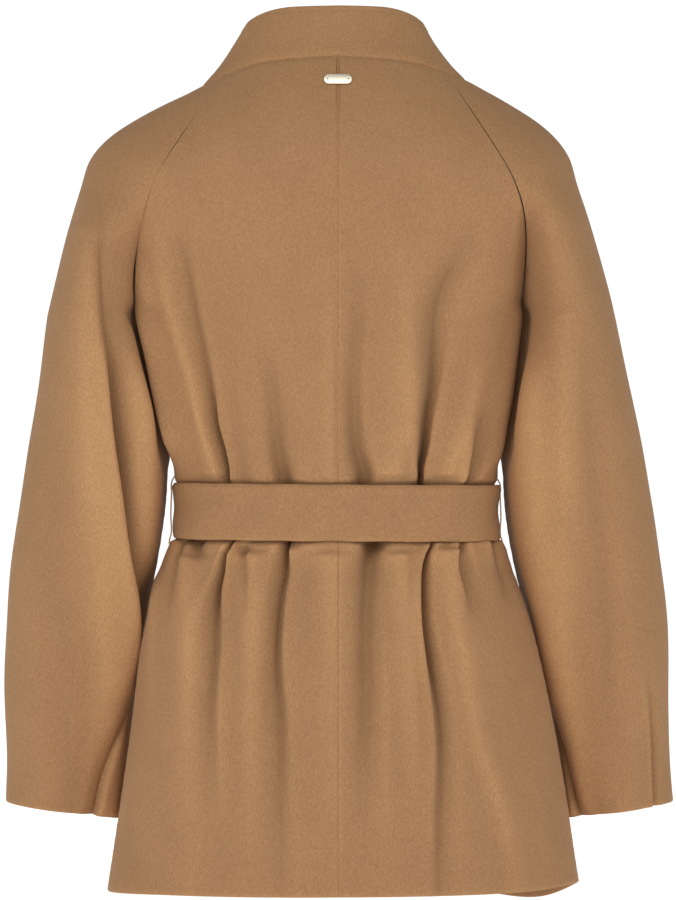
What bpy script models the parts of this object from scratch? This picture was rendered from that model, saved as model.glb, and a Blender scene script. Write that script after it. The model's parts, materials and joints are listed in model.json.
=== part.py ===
"""Belted short wool coat with a funnel collar, filled out as worn, with no wearer.

The coat is a hollow shell of cut cloth pieces. Its front faces -Y, its back +Y, +Z is up, and
the origin is at the centre of the neck, level with the collar seam at the centre back. All
sizes in the tables are millimetres; "left" is the wearer's left, which is +X.

Every cloth piece is a loft: a row of points for each height, worked out from the section
tables, with the inner face one cloth thickness inside the outer one. Neighbouring pieces
share the points and the normals of their seam, and each draws back by half the seam gap.
"""
import math

import bpy
import numpy as np

MM = 0.001

# Cloth thicknesses and clearances.
CLOTH = 3.0
COLLAR_CLOTH = 4.4
BELT_CLOTH = 5.0
SEAM_GAP = 0.3
LAP_GAP = 2.6            # between the two fronts, where the right one lies over the left
BELT_CLEARANCE = 0.9     # between the belt and the cloth gathered under it

# Heights.
CAP_Z = -110.0           # where the shoulder turns into the upright sleeve and back
UNDERARM_Z = -235.0
BELT_TOP_Z = -392.0
BELT_BOTTOM_Z = -444.0
BELT_TILT = 0.007        # the belt rises towards the wearer's left

# Plan of the neck seam: an oval, read by its angle from the centre back.
NECK_CENTRE_Y = -14.0
NECK_HALF_WIDTH = {"left": 131.0, "right": 123.0}
NECK_BACK = 74.0
NECK_FRONT = 84.0
RAGLAN_BACK_ANGLE = 53.0
SHOULDER_ANGLE = 86.0
RAGLAN_FRONT_ANGLE = 114.0
FRONT_EDGE_X = 52.0      # how far each front passes the centre front
LAP_START_X = 58.0       # where the left front starts to step in under the right one
LAP_BLEND = 34.0         # and over what width it does

# Plan of the collar's top edge.
COLLAR_CENTRE_Y = -12.0
COLLAR_HALF_WIDTH = {"left": 87.0, "right": 81.5}
COLLAR_BACK = 54.0
COLLAR_FRONT = 60.0
COLLAR_FLARE = {"left": 0.28, "right": 0.6}     # how much the collar curves outwards at its seam

COLLAR_SEAM = {          # height of the neck seam and of the collar's top edge
    "angle": (0.0, 30.0, 42.0, 54.0, 78.0, 92.0, 114.0, 145.0, 180.0),
    "seam_left": (1.5, -3.0, -8.0, -15.0, -25.0, -31.0, -43.0, -57.0, -62.0),
    "seam_right": (1.5, -2.5, -6.5, -11.5, -18.5, -23.0, -37.0, -55.0, -62.0),
    "edge": (49.0, 48.5, 47.0, 44.0, 36.0, 30.0, 18.0, 2.0, -8.0),
}

# Depth of the body behind and before the wearer's axis, at the centre back and centre front.
BODY_DEPTH = {
    "z": (-110, -150, -200, -235, -290, -345, -392, -444, -475, -540, -600, -690, -775),
    "back": (104, 110, 113, 114, 112, 107, 101, 103, 115, 128, 136, 144, 148),
    "front": (112, 122, 126, 125, 118, 108, 101, 103, 113, 126, 135, 144, 150),
}

# Half width of the body at the side seam, below the underarm.
BODY_WIDTH = {
    "z": (-235, -262, -290, -324, -361, -390, -443, -452, -473, -501, -541, -602, -672, -770),
    "left": (184, 177, 171.5, 165.5, 155, 148, 148.5, 155, 165.5, 176, 184, 190, 200, 214.5),
    "right": (167.5, 164, 161, 156.5, 149.5, 145, 146, 153, 162.5, 174, 185, 198, 211, 224),
}

# Rings of the sleeves: outer and inner edge seen from behind, fore and aft centre and
# half depth. Above the underarm the inner edge is the raglan seam, and "open" is the angle
# at which the ring starts there, counted round from its inner side.
SLEEVE = {
    "z": (-110, -140, -170, -200, -222, -231, -235, -262, -290, -324, -361, -398, -435, -472,
          -510, -547, -584, -621, -658, -698),
    "outer_left": (237, 247, 255.5, 262, 267, 269, 270, 274, 277.5, 283, 290, 296, 302, 307,
                   311, 313.5, 315, 314.5, 312.5, 314),
    "outer_right": (221, 232, 240.5, 249, 255, 257, 258, 264, 269.5, 277, 285.5, 292, 298.5, 303.5,
                    309, 311.5, 312.5, 312.5, 313, 317),
    "inner_left": (167, 177, 184, 187, 187, 186, 185, 179, 174, 168, 159, 158.5, 163.5, 170,
                   178, 184, 188, 192, 196, 202),
    "inner_right": (160, 170, 173, 172, 170.5, 169.5, 168.5, 166, 163.5, 160, 153.5, 153.5, 157.5, 165,
                    175, 185, 193, 200, 205, 209),
    "centre": (-1, -1, 0, 0, 0, 0, 0, -2, -5, -9, -14, -20, -27, -35,
               -43, -50, -56, -60, -63, -65),
    "half_depth": (86, 87, 87, 87, 87, 87, 87, 86, 85, 83, 81, 79, 77, 75,
                   73, 71, 69, 67, 65, 63),
    "open": (98, 66, 47, 31, 16, 5.5, 0, 0, 0, 0, 0, 0, 0, 0,
             0, 0, 0, 0, 0, 0),
}
CUFF_TILT = 7.0          # the cuff's inner side hangs this much below its middle
CUFF_TILT_TOP_Z = -420.0
UNDERARM_CROWDING = 3.0  # how much the sleeve's columns give way near the open seam
ROUND_TURN = math.radians(45.0)      # a body section that turns less than this is even,
CLOSED_TURN = math.radians(88.0)     # and one that turns more has its columns kept upright
BODY_CROWDING = 4.0

HEM_SECTION_Z = -775.0   # the section that gives the hem its plan
HEM = {                  # height of the hem by its angle from the centre back
    "angle": (0, 45, 80, 95, 110, 126, 142, 180),
    "left": (-763, -765, -769, -770, -771, -773, -774, -775),
    "right": (-763, -763, -760, -764, -775, -785.5, -781, -776),
}

# Heights of the loft's rows. The first rows are given as a share of the way from the neck
# seam to the cap line.
SHOULDER_ROWS = (0.0, 0.14, 0.33, 0.56, 0.79)
ARMHOLE_ROWS = (-110.0, -137.0, -163.0, -188.0, -209.0, -223.0, -231.5, -235.0)
BODICE_ROWS = (-241.0, -264.0, -294.0, -326.0, -358.0, -381.0)
SKIRT_ROWS = (-392.0, -418.0, -444.0, -456.0, -474.0, -500.0, -535.0, -577.0, -625.0, -674.0, -724.0)
SLEEVE_ROWS = (-241.0, -264.0, -294.0, -327.0, -361.0, -395.0, -430.0, -465.0, -500.0, -535.0,
               -570.0, -602.0, -635.0, -667.0, -698.0)

# How far the surface swells out between the neck seam and the cap line: sideways along the
# raglan seams, more over the shoulder, and fore and aft.
SEAM_RISE = 0.04
SHOULDER_RISE = 1.04
SLEEVE_AXIS = (215.0, -20.0)     # upright line that every part of a sleeve goes round
BACK_RISE = 0.9

BACK_COLUMNS = 14
FRONT_COLUMNS = 9
LAP_COLUMNS = 4
SLEEVE_COLUMNS = 22
COLLAR_ROWS = 3

# Folds that run up and down from the belt, and the tucks that run up from the cuffs. Each
# row gives where the fold is at its deep end and at its far end, how its path bends, its
# depth, half width, and how soon it fades. Negative depth is a ridge.
FOLD_COLUMNS = ("x_deep", "x_far", "bend", "z_deep", "z_far", "depth", "half_width", "fade")
BACK_FOLDS = (
    (95, 158, 1.0, -388, -140, 12.0, 15, 0.9),
    (48, 76, 0.8, -388, -245, 7.0, 16, 1.0),
    (-27, -22, 1.0, -388, -225, 6.0, 18, 0.8),
    (-80, -136, 2.0, -388, -140, 12.5, 15, 0.9),
    (-122, -140, 1.0, -388, -330, 7.0, 13, 1.2),
    (128, 146, 1.0, -388, -320, 6.0, 13, 1.2),
    (93, 122, 0.6, -448, -690, 14.0, 15, 1.1),
    (41, 56, 0.5, -448, -735, 11.0, 16, 0.9),
    (-35, -23, 0.7, -448, -735, 8.5, 18, 0.9),
    (-77, -95, 1.4, -448, -800, 13.5, 15, 0.7),
    (-113, -120, 1.0, -448, -560, 10.0, 13, 1.3),
    (126, 158, 0.7, -448, -560, 7.0, 13, 1.2),
    (70, 84, 0.8, -448, -580, 5.0, 12, 1.2),
)
FRONT_FOLDS = (
    (88, 140, 1.2, -388, -190, 11.0, 16, 1.0),
    (124, 146, 1.0, -388, -300, 7.0, 14, 1.2),
    (-88, -138, 1.2, -388, -190, 11.0, 16, 1.0),
    (-124, -142, 1.0, -388, -300, 7.0, 14, 1.2),
    (86, 112, 0.7, -448, -740, 12.0, 16, 0.9),
    (122, 150, 0.7, -448, -600, 8.0, 14, 1.1),
    (-86, -112, 0.7, -448, -740, 12.0, 16, 0.9),
    (-122, -150, 0.7, -448, -600, 8.0, 14, 1.1),
)
SLEEVE_BACK_FOLDS = (
    (206, 216, 1.5, -290, -140, 6.0, 17, 0.7),
    (206, 188, 1.2, -290, -560, 6.0, 16, 0.7),
    (233, 200, 1.0, -700, -580, 9.0, 13, 0.8),
    (-180, -188, 1.0, -260, -150, 4.5, 17, 0.8),
    (-231, -206, 1.0, -700, -600, 9.0, 13, 0.8),
    (-298, -291, 1.0, -700, -555, 6.0, 12, 0.8),
)
SLEEVE_FRONT_FOLDS = (
    (205, 216, 1.5, -290, -160, 5.0, 17, 0.8),
    (205, 200, 1.0, -290, -520, 5.0, 17, 0.9),
    (-200, -212, 1.5, -290, -160, 5.0, 17, 0.8),
    (-200, -196, 1.0, -290, -520, 5.0, 17, 0.9),
    (238, 220, 1.0, -700, -600, 7.0, 13, 0.9),
    (-238, -222, 1.0, -700, -600, 7.0, 13, 0.9),
)
FOLD_RUN_UNDER_BELT = 24.0
FOLD_SIDE_MARGIN = 24.0  # folds grow from nothing over this much depth from the side
FOLD_SEAM_COLUMNS = 2.0  # and over this many columns from a seam

# The belt's band, and its tie at the front.
BELT_STATIONS = 48
BELT_CROWN = 1.10        # how far the belt swells at its middle, as a share of its cloth
BELT_SECTION = (         # across the belt's cloth: share of height, share of thickness
    (0.50, 0.25), (0.50, 0.75), (0.42, 1.0), (0.0, BELT_CROWN), (-0.42, 1.0), (-0.50, 0.75),
    (-0.50, 0.25), (-0.42, 0.0), (0.0, 0.0), (0.42, 0.0),
)
KNOT_WIDTH = 60.0
KNOT_HEIGHT = 60.0
KNOT_DEPTH = 19.0
KNOT_X = 8.0
KNOT_DROP = 3.0          # below the middle of the belt
KNOT_RINGS = 12
KNOT_COLUMNS = 18
KNOT_ROUNDNESS = (0.55, 0.7, 0.8, 0.75)     # of the rings, across, fore and aft, upwards
KNOT_NECK = 0.16         # depth of the groove where the band wraps over
KNOT_NECK_SLANT = 0.35
KNOT_NECK_WIDTH = 0.35
KNOT_TAPER = 0.12
KNOT_CLEARANCE = 0.6     # from the belt's face
BELT_END_WIDTH = 50.0
BELT_END_PINCH = 26.0    # width where an end comes out from under the knot
BELT_END_CLEARANCE = (0.6, 4.0)      # from the front, at the knot and lower down
BELT_END_BOW = 5.0       # how far an end stands off the front at its middle
BELT_END_SLANT = 10.0    # the slanting cut across its tip
BELT_END_DROP = 2.5      # its start, below the belt
BELT_END_ROWS = 14
BELT_END_COLUMNS = 4
BELT_ENDS = {"left": {"x": 22.5, "spread": 46.0, "length": 276.0},
             "right": {"x": -6.5, "spread": -40.0, "length": 240.0}}

# Thread belt loops at the side seams, and the plate under the collar seam.
THREAD_RADIUS = 0.8
THREAD_Y = 13.0
THREAD_CLEARANCE = 0.4
THREAD_RUN = 6.0         # how far a loop reaches past the belt's edges
PLATE_WIDTH = 26.0
PLATE_HEIGHT = 10.5
PLATE_THICKNESS = 1.0
PLATE_DROP = 28.5        # from the neck seam to the plate's middle, along the back
PLATE_LIFT = 0.65        # clear of the cloth
PLATE_REACH = 3.0        # length of back, each way, that gives the plate its lean
PLATE_END_STEPS = 8

SIDES = {"left": 1.0, "right": -1.0}
SHARP_ANGLE = math.radians(50.0)


# ------------------------------------------------------------------ curves and sections

def smooth(xs, ys, x):
    """Monotone cubic through a table's points, level beyond its ends."""
    xs, ys = np.asarray(xs, float), np.asarray(ys, float)
    if xs[0] > xs[-1]:
        xs, ys = xs[::-1], ys[::-1]
    slopes = np.diff(ys) / np.diff(xs)
    tangents = np.zeros(len(xs))
    for i in range(1, len(xs) - 1):
        if slopes[i - 1] * slopes[i] > 0:
            tangents[i] = 2.0 / (1.0 / slopes[i - 1] + 1.0 / slopes[i])
    tangents[0], tangents[-1] = slopes[0], slopes[-1]
    x = float(np.clip(x, xs[0], xs[-1]))
    i = int(np.clip(np.searchsorted(xs, x) - 1, 0, len(xs) - 2))
    width = xs[i + 1] - xs[i]
    t = (x - xs[i]) / width
    return ((1 + 2 * t) * (1 - t) ** 2 * ys[i] + t * (1 - t) ** 2 * width * tangents[i]
            + t * t * (3 - 2 * t) * ys[i + 1] + t * t * (t - 1) * width * tangents[i + 1])


def read(table, name, z, key="z"):
    """One column of a section table at a height or angle."""
    return smooth(table[key], table[name], z)


def step(low, high, x):
    """Smooth step from 0 at low to 1 at high."""
    t = min(1.0, max(0.0, (x - low) / (high - low)))
    return t * t * (3 - 2 * t)


def unit(vectors):
    """Vectors of length one, along the last axis."""
    return vectors / np.linalg.norm(vectors, axis=-1, keepdims=True)


def neck_point(side, angle):
    """Point of the neck seam at an angle in degrees from the centre back."""
    a = math.radians(angle)
    depth = NECK_BACK if math.cos(a) > 0 else NECK_FRONT
    return np.array((SIDES[side] * NECK_HALF_WIDTH[side] * math.sin(a),
                     NECK_CENTRE_Y + depth * math.cos(a),
                     read(COLLAR_SEAM, "seam_" + side, min(angle, 360 - angle), "angle")))


def collar_edge_point(side, angle):
    """Point of the collar's top edge at an angle in degrees from the centre back."""
    a = math.radians(angle)
    depth = COLLAR_BACK if math.cos(a) > 0 else COLLAR_FRONT
    return np.array((SIDES[side] * COLLAR_HALF_WIDTH[side] * math.sin(a),
                     COLLAR_CENTRE_Y + depth * math.cos(a),
                     read(COLLAR_SEAM, "edge", min(angle, 360 - angle), "angle")))


def sleeve_ring(side, z):
    """Centre, half width, fore and aft centre, half depth and start angle of a sleeve ring."""
    outer = read(SLEEVE, "outer_" + side, z)
    inner = read(SLEEVE, "inner_" + side, z)
    open_angle = math.radians(read(SLEEVE, "open", z))
    half_width = (outer - inner) / (1.0 + math.cos(open_angle))
    return (outer - half_width, half_width, read(SLEEVE, "centre", z),
            read(SLEEVE, "half_depth", z), open_angle)


def sleeve_point(side, z, share):
    """Point of a sleeve ring, from the back raglan seam (0) round to the front one (1)."""
    centre_x, half_width, centre_y, half_depth, start = sleeve_ring(side, z)
    crowding = 1.0 + UNDERARM_CROWDING * (1.0 - start / math.radians(SLEEVE["open"][0]))
    lean = 1.0 - 2.0 * share
    angle = 2 * math.pi * share + start * math.copysign(abs(lean) ** crowding, lean)
    tilt = CUFF_TILT * (1.0 - step(SLEEVE["z"][-1], CUFF_TILT_TOP_Z, z))
    return np.array((SIDES[side] * (centre_x - half_width * math.cos(angle)),
                     centre_y + half_depth * math.sin(angle),
                     z - tilt * math.cos(angle)))


def body_point(side, z, angle, behind):
    """Point of the body's section: angle 0 at the centre back, 90 at the side seam or the
    raglan seam, 180 at the centre front, and past it on a front's lap."""
    depth = read(BODY_DEPTH, "back" if behind else "front", z)
    if z > UNDERARM_Z:
        seam = sleeve_point(side, z, 0.0 if behind else 1.0)
        end_x, end_y = abs(seam[0]), abs(seam[1])
    else:
        end_x, end_y = read(BODY_WIDTH, side, z), 0.0
    turn = math.acos(min(1.0, end_y / depth))
    share = angle / 90.0 if behind else (180.0 - angle) / 90.0
    crowding = BODY_CROWDING * step(ROUND_TURN, CLOSED_TURN, turn)
    a = math.pi / 2 * share * (1.0 - (1.0 - turn / (math.pi / 2)) * abs(share) ** crowding)
    return np.array((SIDES[side] * end_x * math.sin(a) / math.sin(turn),
                     depth * math.cos(a) * (1.0 if behind else -1.0), z))


def shoulder_point(top, cap, share, rise_x):
    """Point on the way from the neck seam down to the cap line."""
    swell = share * (1.0 - share)
    along = np.array((share + rise_x * swell, share + BACK_RISE * swell, share))
    return top + (cap - top) * along


def fold_inset(folds, x, z):
    """How far the folds draw the cloth in at a place."""
    inset = 0.0
    for row in folds:
        fold = dict(zip(FOLD_COLUMNS, row))
        run = (z - fold["z_deep"]) / (fold["z_far"] - fold["z_deep"])
        if run >= 1.0:
            continue
        if run < 0.0:
            strength = max(0.0, 1.0 - abs(z - fold["z_deep"]) / FOLD_RUN_UNDER_BELT)
        else:
            strength = (1.0 - run) ** fold["fade"]
        centre = fold["x_deep"] + (fold["x_far"] - fold["x_deep"]) * max(run, 0.0) ** fold["bend"]
        inset += fold["depth"] * strength * math.exp(-((x - centre) / fold["half_width"]) ** 2)
    return inset


# ------------------------------------------------------------------ lofts of the panels

def row_heights(lower_rows):
    """Rows below the shoulder rows, as heights."""
    return ARMHOLE_ROWS + lower_rows


def back_grid(side):
    """Rows of a back panel, from the centre back to the raglan or side seam."""
    shares = np.linspace(0.0, 1.0, BACK_COLUMNS + 1)
    rows = []
    for down in SHOULDER_ROWS:
        rows.append([shoulder_point(neck_point(side, RAGLAN_BACK_ANGLE * s),
                                    body_point(side, CAP_Z, 90.0 * s, True),
                                    down, SEAM_RISE)
                     for s in shares])
    for z in row_heights(BODICE_ROWS + SKIRT_ROWS):
        rows.append([body_point(side, z, 90.0 * s, True) for s in shares])
    rows.append([hem_point(side, 90.0 * s, True) for s in shares])
    return np.array(rows)


def hem_point(side, angle, behind):
    """Point of the hem; past the centre front a lap keeps the centre front's height."""
    z = read(HEM, side, min(angle, 180.0), "angle")
    point = body_point(side, HEM_SECTION_Z, angle, behind)
    point[2] = z
    return point


def front_angles(side, z):
    """Angles of a front panel's columns at a height, from its seam to its front edge."""
    end_x = read(BODY_WIDTH, side, min(z, UNDERARM_Z))
    past = math.degrees(math.asin(FRONT_EDGE_X / end_x))
    return list(np.linspace(90.0, 180.0, FRONT_COLUMNS + 1)) + \
        list(180.0 + past * np.arange(1, LAP_COLUMNS + 1) / LAP_COLUMNS)


def front_grid(side):
    """Rows of a front panel, from the raglan or side seam past the centre front."""
    rows = []
    neck_past = math.degrees(math.asin(FRONT_EDGE_X / NECK_HALF_WIDTH[side]))
    neck_angles = list(np.linspace(RAGLAN_FRONT_ANGLE, 180.0, FRONT_COLUMNS + 1)) + \
        list(180.0 + neck_past * np.arange(1, LAP_COLUMNS + 1) / LAP_COLUMNS)
    cap_angles = front_angles(side, CAP_Z)
    for down in SHOULDER_ROWS:
        rows.append([shoulder_point(neck_point(side, n), body_point(side, CAP_Z, c, False),
                                    down, SEAM_RISE)
                     for n, c in zip(neck_angles, cap_angles)])
    for z in row_heights(BODICE_ROWS + SKIRT_ROWS):
        rows.append([body_point(side, z, a, False) for a in front_angles(side, z)])
    rows.append([hem_point(side, a, False) for a in front_angles(side, HEM_SECTION_Z)])
    return np.array(rows)


def sleeve_grid(side):
    """Rows of a sleeve, from the back seam over the outside of the arm to the front seam."""
    shares = np.linspace(0.0, 1.0, SLEEVE_COLUMNS + 1)
    angles = np.interp(shares, (0.0, 0.5, 1.0),
                       (RAGLAN_BACK_ANGLE, SHOULDER_ANGLE, RAGLAN_FRONT_ANGLE))
    rows = []
    for down in SHOULDER_ROWS:
        rows.append([shoulder_point(neck_point(side, a), sleeve_point(side, CAP_Z, s), down,
                                    SEAM_RISE + SHOULDER_RISE * math.sin(math.pi * s))
                     for s, a in zip(shares, angles)])
    for z in row_heights(SLEEVE_ROWS):
        rows.append([sleeve_point(side, z, s) for s in shares])
    return np.array(rows)


def grid_normals(points, outward):
    """Unit normals of a grid of points, pointing to the given side on average."""
    down = np.gradient(points, axis=0)
    across = np.gradient(points, axis=1)
    normals = unit(np.cross(down, across))
    if np.sum(normals * outward) < 0:
        normals = -normals
    return normals


def away_from_axis(points, centre):
    """Rough outward directions from an upright axis through a centre."""
    rough = points - np.asarray(centre)
    rough[..., 2] = 0.0
    return rough


def fold_in(points, normals, tables, middle=None):
    """Draw a panel in along its folds, but for its seams. A table is (folds, behind), and
    middle is the section table whose centre parts behind from before."""
    moved = points.copy()
    last = points.shape[1] - 1
    for folds, behind in tables:
        for row, column in np.ndindex(points.shape[:2]):
            x, y, z = points[row, column]
            if middle:
                y -= read(middle, "centre", z)
            weight = step(0.0, FOLD_SIDE_MARGIN, y if behind else -y)
            weight *= step(0.0, FOLD_SEAM_COLUMNS, min(column, last - column))
            moved[row, column] -= normals[row, column] * fold_inset(folds, x, z) * weight
    return moved


def lap_in(points, side):
    """Step the left front in under the right one."""
    if side == "right":
        return points
    moved = points.copy()
    for index in np.ndindex(points.shape[:2]):
        x, y, z = points[index]
        inset = (CLOTH + LAP_GAP) * (1.0 - step(LAP_START_X, LAP_START_X + LAP_BLEND, x))
        radial = unit(np.array((x, y, 0.0)))
        moved[index] -= inset * radial
    return moved


# ------------------------------------------------------------------ meshes

def wall_mesh(name, outer, inner):
    """Closed mesh of a wall between an outer and an inner grid of points."""
    rows, columns = outer.shape[:2]
    points = np.concatenate((outer.reshape(-1, 3), inner.reshape(-1, 3))) * MM
    count = rows * columns

    def at(r, c, layer):
        return layer * count + r * columns + c

    faces = []
    for r in range(rows - 1):
        for c in range(columns - 1):
            faces.append((at(r, c, 0), at(r + 1, c, 0), at(r + 1, c + 1, 0), at(r, c + 1, 0)))
            faces.append((at(r, c, 1), at(r, c + 1, 1), at(r + 1, c + 1, 1), at(r + 1, c, 1)))
    for r in range(rows - 1):
        faces.append((at(r, 0, 0), at(r, 0, 1), at(r + 1, 0, 1), at(r + 1, 0, 0)))
        last = columns - 1
        faces.append((at(r, last, 0), at(r + 1, last, 0), at(r + 1, last, 1), at(r, last, 1)))
    for c in range(columns - 1):
        faces.append((at(0, c, 0), at(0, c + 1, 0), at(0, c + 1, 1), at(0, c, 1)))
        last = rows - 1
        faces.append((at(last, c, 0), at(last, c, 1), at(last, c + 1, 1), at(last, c + 1, 0)))
    return closed_mesh(name, points, faces)


def closed_mesh(name, points, faces):
    """Mesh from points and faces, turned so that its faces point out."""
    origin = points.mean(axis=0)
    volume = 0.0
    for face in faces:
        a = points[face[0]] - origin
        for i in range(1, len(face) - 1):
            volume += np.dot(a, np.cross(points[face[i]] - origin, points[face[i + 1]] - origin))
    if volume < 0:
        faces = [tuple(reversed(face)) for face in faces]
    mesh = bpy.data.meshes.new(name)
    mesh.from_pydata([tuple(point) for point in points], [], faces)
    mesh.validate()
    mesh.shade_smooth()
    mesh.set_sharp_from_angle(angle=SHARP_ANGLE)
    return mesh


def add_part(name, mesh, material, collection):
    """Put a mesh in the coat's collection as a named part."""
    part = bpy.data.objects.new(name, mesh)
    mesh.materials.append(material)
    collection.objects.link(part)
    return part


def make_material(name, colour, roughness, metallic=0.0):
    """Plain Principled material."""
    material = bpy.data.materials.new(name)
    material.use_nodes = True
    shader = material.node_tree.nodes["Principled BSDF"]
    shader.inputs["Base Color"].default_value = (*colour, 1.0)
    shader.inputs["Roughness"].default_value = roughness
    shader.inputs["Metallic"].default_value = metallic
    return material


# ------------------------------------------------------------------ the coat's shell

def seam_across(seam, normals, towards):
    """Unit directions across a seam, pointing to the given side."""
    tangent = unit(np.gradient(seam, axis=0))
    across = unit(np.cross(tangent, normals))
    flip = np.sign(np.sum(across * towards, axis=-1, keepdims=True))
    return across * np.where(flip == 0, 1.0, flip)


def collar_grid(side):
    """Rows of one half of the collar, upwards, over the same columns as the pieces below."""
    shares = np.linspace(0.0, 1.0, BACK_COLUMNS + 1)
    angles = [RAGLAN_BACK_ANGLE * s for s in shares]
    sleeve_shares = np.linspace(0.0, 1.0, SLEEVE_COLUMNS + 1)
    angles += list(np.interp(sleeve_shares, (0.0, 0.5, 1.0),
                             (RAGLAN_BACK_ANGLE, SHOULDER_ANGLE, RAGLAN_FRONT_ANGLE)))[1:]
    past = math.degrees(math.asin(FRONT_EDGE_X / NECK_HALF_WIDTH[side]))
    angles += list(np.linspace(RAGLAN_FRONT_ANGLE, 180.0, FRONT_COLUMNS + 1))[1:]
    angles += list(180.0 + past * np.arange(1, LAP_COLUMNS + 1) / LAP_COLUMNS)
    rows = []
    for share in np.linspace(0.0, 1.0, COLLAR_ROWS + 1):
        lean = share + COLLAR_FLARE[side] * share * (1.0 - share)
        along = np.array((lean, lean, share))
        rows.append([neck_point(side, a) + (collar_edge_point(side, a) - neck_point(side, a)) * along
                     for a in angles])
    return np.array(rows)


def shell(side):
    """Outer points and normals of one side's back, sleeve, front and half collar."""
    sign = SIDES[side]
    back, sleeve, front = back_grid(side), sleeve_grid(side), front_grid(side)
    collar = collar_grid(side)
    centre = (sign * SLEEVE_AXIS[0], SLEEVE_AXIS[1], 0.0)
    back = fold_in(back, grid_normals(back, away_from_axis(back, (0, 0, 0))),
                   ((BACK_FOLDS, True),))
    front = fold_in(front, grid_normals(front, away_from_axis(front, (0, 0, 0))),
                    ((FRONT_FOLDS, False),))
    sleeve = fold_in(sleeve, grid_normals(sleeve, away_from_axis(sleeve, centre)),
                     ((SLEEVE_BACK_FOLDS, True), (SLEEVE_FRONT_FOLDS, False)), SLEEVE)
    front = lap_in(front, side)
    neck_front = front[0, 1:]
    collar[:, -neck_front.shape[0]:] = lap_in(collar[:, -neck_front.shape[0]:], side)
    collar[0, -neck_front.shape[0]:] = neck_front

    normals = {"back": grid_normals(back, away_from_axis(back, (0, 0, 0))),
               "front": grid_normals(front, away_from_axis(front, (0, 0, 0))),
               "sleeve": grid_normals(sleeve, away_from_axis(sleeve, centre)),
               "collar": grid_normals(collar, away_from_axis(collar, (0, 0, 0)))}
    share_normals(normals, sign)
    return {"back": back, "sleeve": sleeve, "front": front, "collar": collar}, normals


def share_normals(normals, sign):
    """Give the pieces one normal where they meet."""
    back, sleeve, front = normals["back"], normals["sleeve"], normals["front"]
    underarm = len(SHOULDER_ROWS) + len(ARMHOLE_ROWS) - 1
    for r in range(underarm):
        back[r, -1] = sleeve[r, 0] = unit(back[r, -1] + sleeve[r, 0])
        front[r, 0] = sleeve[r, -1] = unit(front[r, 0] + sleeve[r, -1])
    for piece, column in ((back, -1), (front, 0), (sleeve, 0), (sleeve, -1)):
        piece[underarm, column] = (0.0, 0.0, -1.0)
    for r in range(underarm + 1, back.shape[0]):
        back[r, -1] = front[r, 0] = unit(back[r, -1] + front[r, 0])
    for r in range(underarm + 1, sleeve.shape[0]):
        sleeve[r, 0] = sleeve[r, -1] = unit(sleeve[r, 0] + sleeve[r, -1])
    back[:, 0, 0] = 0.0
    back[:, 0] = unit(back[:, 0])
    top = np.concatenate((back[0], sleeve[0, 1:], front[0, 1:]))
    shared = unit(top + normals["collar"][0])
    shared[0, 0] = 0.0
    shared[0] = unit(shared[0])
    normals["collar"][0] = shared
    normals["collar"][:, 0, 0] = 0.0
    normals["collar"][:, 0] = unit(normals["collar"][:, 0])
    back[0] = shared[:BACK_COLUMNS + 1]
    sleeve[0] = shared[BACK_COLUMNS:BACK_COLUMNS + SLEEVE_COLUMNS + 1]
    front[0] = shared[BACK_COLUMNS + SLEEVE_COLUMNS:]


def draw_back(outer, inner, row, column, direction, distance=SEAM_GAP / 2):
    """Move an edge of a wall away from its neighbour."""
    outer[row, column] += direction * distance
    inner[row, column] += direction * distance


def panel_walls(side):
    """Outer and inner points of one side's pieces, drawn back from their seams."""
    sign = SIDES[side]
    points, normals = shell(side)
    walls = {}
    for piece, grid in points.items():
        walls[piece] = (grid.copy(), grid - CLOTH * normals[piece])
    underarm = len(SHOULDER_ROWS) + len(ARMHOLE_ROWS) - 1
    x_axis, y_axis = np.array((1.0, 0.0, 0.0)), np.array((0.0, 1.0, 0.0))

    upper = slice(0, underarm + 1)
    outwards = sign * x_axis
    for body, body_column, sleeve_column in (("back", -1, 0), ("front", 0, -1)):
        across = seam_across(points[body][upper, body_column], normals[body][upper, body_column],
                             outwards)
        draw_back(*walls[body], upper, body_column, -across)
        draw_back(*walls["sleeve"], upper, sleeve_column, across)
    lower = slice(underarm, None)
    draw_back(*walls["back"], lower, -1, y_axis)
    draw_back(*walls["front"], lower, 0, -y_axis)
    draw_back(*walls["sleeve"], lower, 0, y_axis)
    draw_back(*walls["sleeve"], lower, -1, -y_axis)
    draw_back(*walls["back"], slice(None), 0, outwards)
    for piece in ("back", "sleeve", "front"):
        draw_back(*walls[piece], 0, slice(None), unit(points[piece][1] - points[piece][0]))
    return points, normals, walls


def collar_wall(halves):
    """The collar, from the right front edge round the back to the left front edge."""
    grid = np.concatenate((halves["right"][0]["collar"][:, ::-1],
                           halves["left"][0]["collar"][:, 1:]), axis=1)
    normals = np.concatenate((halves["right"][1]["collar"][:, ::-1],
                              halves["left"][1]["collar"][:, 1:]), axis=1)
    thickness = np.full(grid.shape[:2] + (1,), COLLAR_CLOTH)
    thickness[0] = CLOTH
    thickness[-1] = CLOTH
    inner = grid - thickness * normals
    draw_back(grid, inner, 0, slice(None), unit(grid[1] - grid[0]))
    return grid, inner


# ------------------------------------------------------------------ belt, tie and trim

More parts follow.
